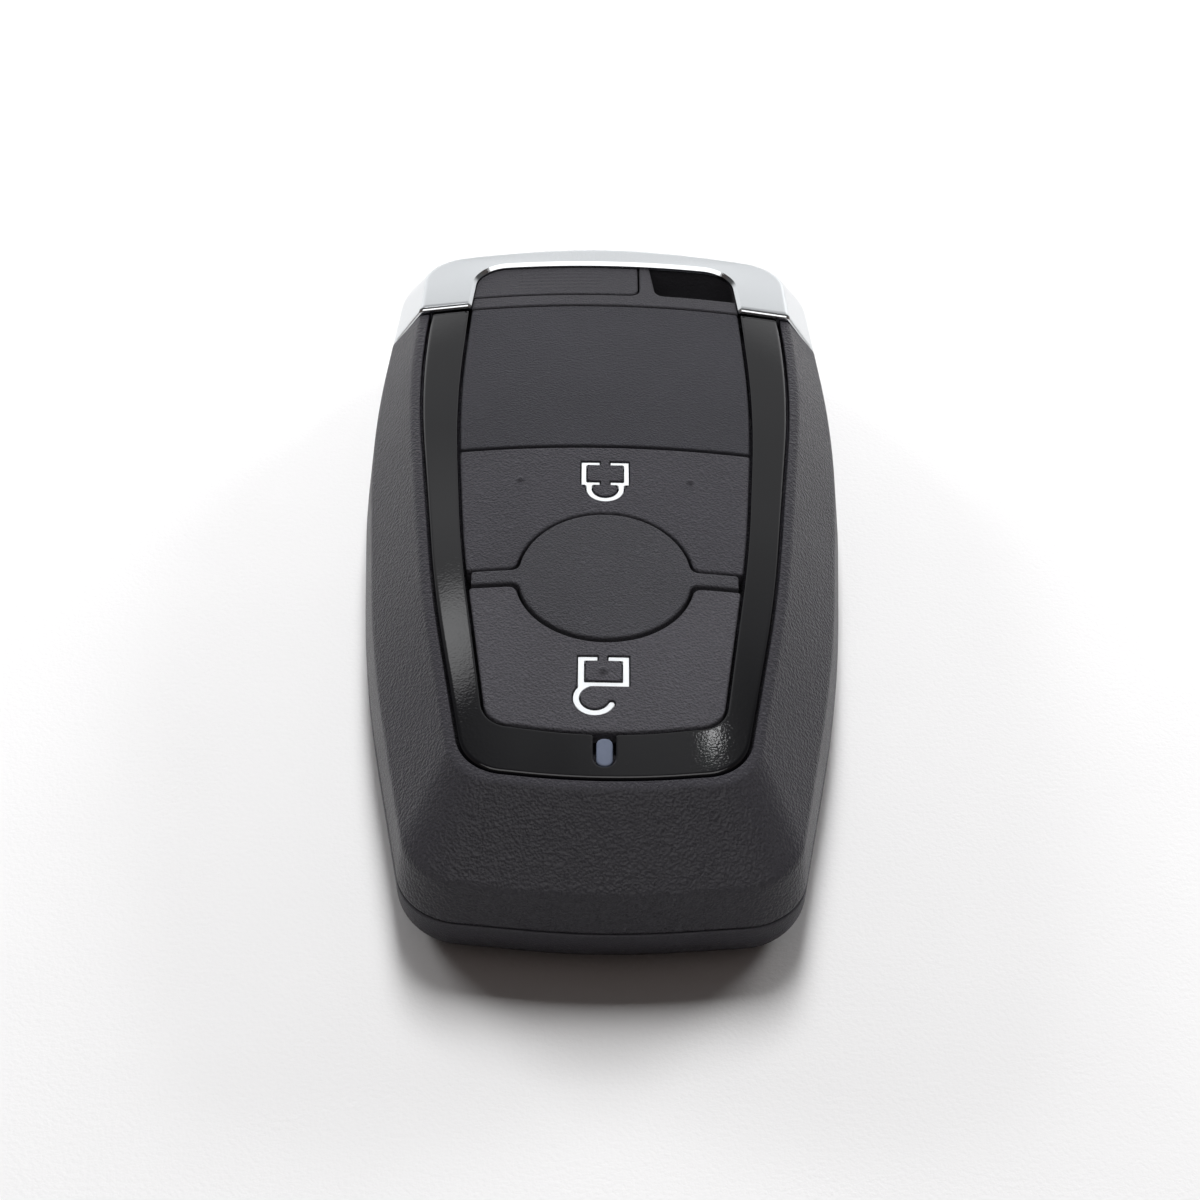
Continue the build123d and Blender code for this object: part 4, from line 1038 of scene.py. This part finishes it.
# centre key: disc with two arms
yh, yl, ax = arm_hi_y - key_gap, arm_lo_y + key_gap, 11.02
rd = disc_r - key_gap
xh, xl = math.sqrt(rd ** 2 - (yh - disc_y) ** 2), math.sqrt(rd ** 2 - (yl - disc_y) ** 2)
ah, al = math.atan2(yh - disc_y, xh), math.atan2(yl - disc_y, xl)
top = np.array([(rd * math.cos(t), disc_y + rd * math.sin(t)) for t in np.linspace(ah, math.pi - ah, 60)])
low = np.array([(rd * math.cos(t), disc_y + rd * math.sin(t)) for t in np.linspace(math.pi - al, 2 * math.pi + al, 60)])
loop = joined([np.array([[ax, yl], [ax, yh]]), np.array([[ax, yh], [xh, yh]]), top, np.array([[-xh, yh], [-ax, yh]]),
               np.array([[-ax, yh], [-ax, yl]]), np.array([[-ax, yl], [-xl, yl]]), low, np.array([[xl, yl], [ax, yl]])],
              [0.25, 0.75, 0.75, 0.25, 0.25, 0.75, 0.75, 0.25])
b = Build()
tile(b, [loop], lambda x, y: skin(x, y, 0.11), 1.5, 0.18, 4, 0.5)
centre = b.obj("centre_key_cap")
dress(centre, disc_mat, "centre_key", "panel_plastic", "centre_button")

# ---------------------------------------------------------------------------
# Key insert: bright cap, black head, release pad
# ---------------------------------------------------------------------------
y_in = seam_y + seam_half
b = Build()
cap_round, lip_y = 0.42, 33.97
cap_strip = lambda shape: far_strip(shape, y=y_in + cap_round)
lip = 0.30
A0 = cap_strip(arch(0.0, lip_y))
AL = cap_strip(arch(lip, lip_y))
A6 = cap_strip(arch(0.6))
ctrl = [at(cap_strip(shifted(S, -cap_wall)), zp), at(cap_strip(P), zp), on_soft(cap_strip(S)), on_skin(cap_strip(R), cap_proud),
        on_skin(AL, cap_proud), on_skin(A0, cap_proud - lip), on_skin(A0, -0.12), on_skin(A6, -0.12), at(A6, cap_roof_z),
        at(cap_strip(level(cap_roof_z, -cap_wall)), cap_roof_z), on_soft(cap_strip(shifted(S, -cap_wall)))]
rows = rounded_rows(ctrl, [0, 0.14, 1.9, 0.7, 0, 0, 0, 0, 0, 0, 0], [1, 3, 8, 6, 1, 1, 1, 1, 1, 1, 1], closed=True)
b.sweep(rows, (-cap_round, 0.26, 6))
cap = b.obj("end_cap_bright")
dress(cap, silver, "key_insert", "satin_silver", "key_cap")

# keyring opening
hole_l = np.array([[4.18, 34.10], [4.72, 29.30]])
ar = right_side(arch(), 34.0999, 29.30)
arch_edge = chain([p for _, p in prims(arch())])
ae = arch_edge[(arch_edge[:, 0] > 4.18)]
ae = cut_at(ae, 29.30)
ae = np.concatenate([[[4.18, 34.10]], ae])
hole = joined([hole_l, np.array([[4.72, 29.30], [ae[-1][0], 29.30]]), ae[::-1]], [0.95, 0.25, 0.15], h=0.4)

b = Build()
rws, ids = cover_like(b, far_strip, y_in)
bottom = rws[-1][:, :2]
hb0 = b.add(at(hole, 0.0))
hb1 = b.add(at(hole, zc))
b.band(hb0, hb1, True)
o_ids = ids[-1][::-1] if area(bottom) < 0 else ids[-1]
h_ids = hb0[::-1] if area(hole) > 0 else hb0
b.fill([ccw(bottom), ccw(hole, False)], lambda x, y: np.zeros(np.shape(x)), 2.0, np.concatenate([o_ids, h_ids]))
top_out = rws[0][:, :2]
o_ids = ids[0][::-1] if area(top_out) < 0 else ids[0]
h_ids = hb1[::-1] if area(hole) > 0 else hb1
b.fill([ccw(top_out), ccw(hole, False)], None, None, np.concatenate([o_ids, h_ids]))
# core inside the cap, in three steps: solid, with the slot of the latch arm, with the well of the pad
def notched(strip, x0, x1, y1, y0=y_in):
    return np.concatenate([strip, [[x0, y0], [x0, y1], [x1, y1], [x1, y0]]])


core_s = far_strip(shifted(S, -cap_wall - 0.03))
slot = (-10.75, -5.25, 30.95)
well, y_top = (-12.70, rel_x1 + 0.14, 34.25), y_in + 0.35
steps = [[(core_s, zc - 0.02), (core_s, 8.30)],
         [(notched(core_s, *slot), 8.28), (notched(core_s, *slot), 9.2), (notched(far_strip(level(10.68, -cap_wall - 0.05)), *slot), 10.68)],
         [(notched(far_strip(level(10.66, -cap_wall - 0.05), y=y_top), *well, y_top), 10.66),
          (notched(far_strip(level(cap_roof_z, -cap_wall - 0.05), y=y_top), *well, y_top), cap_roof_z - 0.03)]]
for sets in steps:
    cid = [b.add(at(s, z)) for s, z in sets]
    hid = [b.add(at(hole, sets[0][1])), b.add(at(hole, sets[-1][1]))]
    for p, q in zip(cid[:-1], cid[1:]):
        b.band(p, q, True)
    b.band(hid[0], hid[1], True)
    for s, i, hh in ((sets[0][0], cid[0], hid[0]), (sets[-1][0], cid[-1], hid[1])):
        b.fill([ccw(s), ccw(hole, False)], None, None,
               np.concatenate([i[::-1] if area(s) < 0 else i, hh[::-1] if area(hole) > 0 else hh]))
# lining of the keyring opening under the lip of the cap
lin = ae[::-1]
lin = dens(lin, 0.4)
tan = np.gradient(lin, axis=0)
tan /= np.linalg.norm(tan, axis=1, keepdims=True)
out = lin + np.column_stack([tan[:, 1], -tan[:, 0]]) * 0.55
lo_z = cap_roof_z - 0.05
b.sweep([at(lin, lo_z), on_skin(lin, -0.14), on_skin(out, -0.14), at(out, lo_z)])
# top of the head, around the release pad and the opening
w27 = 12.42 - arch_slope * (y_in - seam_y) - 0.04
w29 = 12.42 - arch_slope * (29.30 - seam_y) - 0.04
side_r = np.array([[w27, y_in], [w29, 29.30]])
gx = rel_x1 + 0.14
gy = rel_y0 - 0.12
w_g = 12.42 - arch_slope * (gy - seam_y) - 0.04
head_loop = joined([np.array([[-w27, y_in], [w27, y_in]]), side_r, np.array([[w29, 29.30], [4.72, 29.30]]),
                    np.array([[4.72, 29.30], [4.19, 34.06]]), np.array([[4.19, 34.06], [gx, 34.06]]),
                    np.array([[gx, 34.06], [gx, gy]]), np.array([[gx, gy], [-w_g, gy]]), np.array([[-w_g, gy], [-w27, y_in]])],
                   [0.25, 0.15, 0.95, 0.12, 0.12, 1.15, 0.15, 0.25], h=0.35)
tile(b, [head_loop], flat, 1.0, 0.20, 4, 0.5, z_bottom=10.685)
box_mesh(b, (-6.0, 23.3, 4.90), (6.0, y_in + 0.6, 7.60), 0.3)
head = b.obj("key_head_core")
dress(head, head_mat, "key_insert", "head_plastic", "key_head")

# release pad
arch_in = chain([p for _, p in prims(arch(-0.05, lip_y))])
left = arch_in * np.array([-1, 1])
left = cut_at(left, rel_y0)
top_y = left[0][1]
pad_loop = joined([np.array([[left[-1][0], rel_y0], [rel_x1, rel_y0]]), np.array([[rel_x1, rel_y0], [rel_x1, top_y]]),
                   np.array([[rel_x1, top_y], [0.0, top_y]]), left], [1.05, 0.2, 0.2, 0.0], h=0.35)


def ribbed(x, y):
    z = skin(x, y)
    x, y = np.asarray(x, float), np.asarray(y, float)
    for c in (30.45, 31.05, 31.65, 32.25, 32.85):
        across = np.clip(1 - np.abs(y - c) / 0.17, 0, 1)
        along = np.clip((3.95 - np.abs(x + 4.15)) / 0.3, 0, 1)
        z = z + 0.03 * (across * across * (3 - 2 * across)) * along
    return z


pad_loop = ccw(pad_loop)
under = dens(left, 0.3)
by_lip = np.sqrt(((pad_loop[:, None, :] - under[None, :, :]) ** 2).sum(2)).min(1) < 0.25
b = Build()
tile(b, [pad_loop], ribbed, 1.0, np.where(by_lip, 0.05, 0.18), 4, 0.11, z_bottom=11.60)
box_mesh(b, (-10.5, rel_y0 + 0.06, 9.30), (-5.5, 30.7, 11.8), 0.15)
box_mesh(b, (-10.5, 23.6, 9.30), (-5.5, 30.7, 10.10), 0.15)
pad = b.obj("release_pad")
dress(pad, head_mat, "release_key", "head_plastic", "release_button")

# ---------------------------------------------------------------------------
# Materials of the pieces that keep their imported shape
# ---------------------------------------------------------------------------
slots = {}
for m in frame["record"].get("materials", []):
    for n in m.get("nodes", []):
        slots[n] = m["slot"]
fallback = {"seal_gasket": rubber, "keypad_mat": silicone, "lock_dome": silicone, "unlock_dome": silicone,
            "centre_dome": silicone, "circuit_board": board, "lock_switch": tin, "unlock_switch": tin,
            "centre_switch": tin, "microcontroller": chip, "radio_chip": chip, "crystal": tin,
            "chip_capacitors": ceramic, "indicator_lamp": lamp, "loop_antenna": copper, "wake_coil_core": ferrite,
            "wake_coil_winding": copper, "inner_frame": frame_mat, "coin_cell": cell, "negative_contact": spring_mat,
            "positive_contact": spring_mat, "release_spring": spring_mat, "key_blade": steel, "blade_pin": steel}
for n, o in frame["nodes"].items():
    mt = slot_mats.get(slots.get(n)) or fallback.get(n) or head_mat
    if o.data.materials:
        for i in range(len(o.data.materials)):
            o.data.materials[i] = mt
    else:
        o.data.materials.append(mt)

# ---------------------------------------------------------------------------
# Floor, light and camera
# ---------------------------------------------------------------------------
me = bpy.data.meshes.new("floor")
s = 2.5
me.from_pydata([(-s, -s, 0), (s, -s, 0), (s, s, 0), (-s, s, 0)], [], [(0, 1, 2, 3)])
floor = bpy.data.objects.new("floor", me)
bpy.context.scene.collection.objects.link(floor)
fm, nt, bs, co = new_mat("floor_paper")
n = noise(nt, co, 35.0, 3.0, 0.6)
nt.links.new(ramp(nt, n, (0.86, 0.86, 0.865), (0.88, 0.88, 0.885)), bs.inputs["Base Color"])
bs.inputs["Roughness"].default_value = 0.8
bs.inputs["Specular IOR Level"].default_value = 0.2
fine = noise(nt, co, 2600.0, 3.0, 0.6)
bump(nt, bs, [(fine, 26e-6, 1.0)])
me.materials.append(fm)


def aim(az, elev):
    """Unit vector towards the far side, turned right by az and raised by elev, in degrees."""
    a, e = math.radians(az), math.radians(elev)
    return Vector((math.sin(a) * math.cos(e), math.cos(a) * math.cos(e), math.sin(e)))


def area_light(name, az, elev, dist, size, size_y, level, seen=False):
    """A soft box that looks at the fob; level is the light that it lays on a facing surface."""
    ld = bpy.data.lights.new(name, "AREA")
    ld.shape, ld.size, ld.size_y = "RECTANGLE", size, size_y
    ld.energy = level * math.pi * dist * dist
    lo = bpy.data.objects.new(name, ld)
    lo.location = aim(az, elev) * dist
    lo.rotation_euler = (-aim(az, elev)).to_track_quat("-Z", "Y").to_euler()
    lo.visible_glossy = seen
    bpy.context.scene.collection.objects.link(lo)
    return lo


area_light("main_box", 0.0, 51.0, 0.9, 0.18, 0.42, 3.2)
area_light("left_box", -45.0, 20.0, 0.9, 0.30, 0.20, 1.3)
area_light("right_box", 45.0, 20.0, 0.9, 0.30, 0.20, 1.3)
over = area_light("over_box", 180.0, 68.0, 0.8, 1.20, 0.60, 2.2, True)
lit = bpy.data.collections.new("over_box_receivers")
lit.objects.link(floor)
over.light_linking.receiver_collection = lit
lit.collection_objects[0].light_linking.link_state = "EXCLUDE"

w = bpy.data.worlds.new("studio")
bpy.context.scene.world = w
w.use_nodes = True
nt = w.node_tree
for x in list(nt.nodes):
    nt.nodes.remove(x)
wo = nt.nodes.new("ShaderNodeOutputWorld")
bg = nt.nodes.new("ShaderNodeBackground")
nt.links.new(bg.outputs[0], wo.inputs["Surface"])
tc = nt.nodes.new("ShaderNodeTexCoord")
sky = tc.outputs["Generated"]
sp = nt.nodes.new("ShaderNodeSeparateXYZ")
nt.links.new(sky, sp.inputs[0])


def blob(az, elev, outer, inner, level):
    """A soft round patch of the sky around a direction."""
    d = nt.nodes.new("ShaderNodeVectorMath")
    d.operation = "DOT_PRODUCT"
    d.inputs[1].default_value = aim(az, elev)
    nt.links.new(sky, d.inputs[0])
    return span_map(nt, d.outputs["Value"], 0.0, level, math.cos(math.radians(outer)), math.cos(math.radians(inner)))


ahead = span_map(nt, sp.outputs["Y"], 0.0, 1.0, 0.50, 0.72)
backdrop = math_node(nt, "MULTIPLY", span_map(nt, sp.outputs["Z"], 0.48, 0.36, 0.74, 0.79), ahead)
low_band = math_node(nt, "MULTIPLY", span_map(nt, sp.outputs["Z"], 0.58, 0.0, 0.40, 0.46), span_map(nt, sp.outputs["Y"], 0.0, 1.0, 0.56, 0.86))
sides = span_map(nt, math_node(nt, "ABSOLUTE", sp.outputs["X"], 0.0), 0.0, 0.10, 0.70, 0.95)
total = math_node(nt, "ADD", math_node(nt, "ADD", math_node(nt, "ADD", backdrop, 0.065), sides), low_band)
for patch in ((-20.0, 48.4, 4.2, 1.0, 2.4), (19.4, 54.9, 1.0, 0.4, 7.6), (-18.2, 43.0, 9.0, 3.0, 0.22), (12.0, 59.0, 9.0, 3.0, 0.14),
              (2.0, 59.0, 15.0, 8.0, 0.24), (27.0, 13.0, 13.0, 5.0, 0.34), (-30.0, 12.0, 16.0, 5.0, 0.10)):
    total = math_node(nt, "ADD", total, blob(*patch))
nt.links.new(total, bg.inputs["Strength"])
nt.links.new(ramp(nt, sp.outputs["Y"], (1.0, 0.82, 0.76), (0.985, 0.99, 1.0), 0.0, 0.3), bg.inputs["Color"])

el, yaw, roll = math.radians(44.0), math.radians(-1.09), math.radians(1.73)
look, dist = Vector((-0.163, -7.767, 9.8)), 225.4
back = Vector((0, -math.cos(el), math.sin(el)))
up = Vector((0, math.sin(el), math.cos(el)))
right = Vector((1, 0, 0))
pos = look + back * dist
turn = Matrix.Rotation(yaw, 3, "Z")
pos, back, up, right = turn @ pos, turn @ back, turn @ up, turn @ right
r2 = math.cos(roll) * right + math.sin(roll) * up
u2 = -math.sin(roll) * right + math.cos(roll) * up
cd = bpy.data.cameras.new("camera")
cd.sensor_width = 36.0
cd.lens = 2675.5 / 1200 * 36.0
cd.clip_start, cd.clip_end = 0.01, 20
cam = bpy.data.objects.new("camera", cd)
mw = Matrix(((r2.x, u2.x, back.x, pos.x * MM), (r2.y, u2.y, back.y, pos.y * MM), (r2.z, u2.z, back.z, pos.z * MM), (0, 0, 0, 1)))
cam.matrix_world = mw
bpy.context.scene.collection.objects.link(cam)
bpy.context.scene.camera = cam
bpy.context.scene.view_settings.view_transform = "Standard"

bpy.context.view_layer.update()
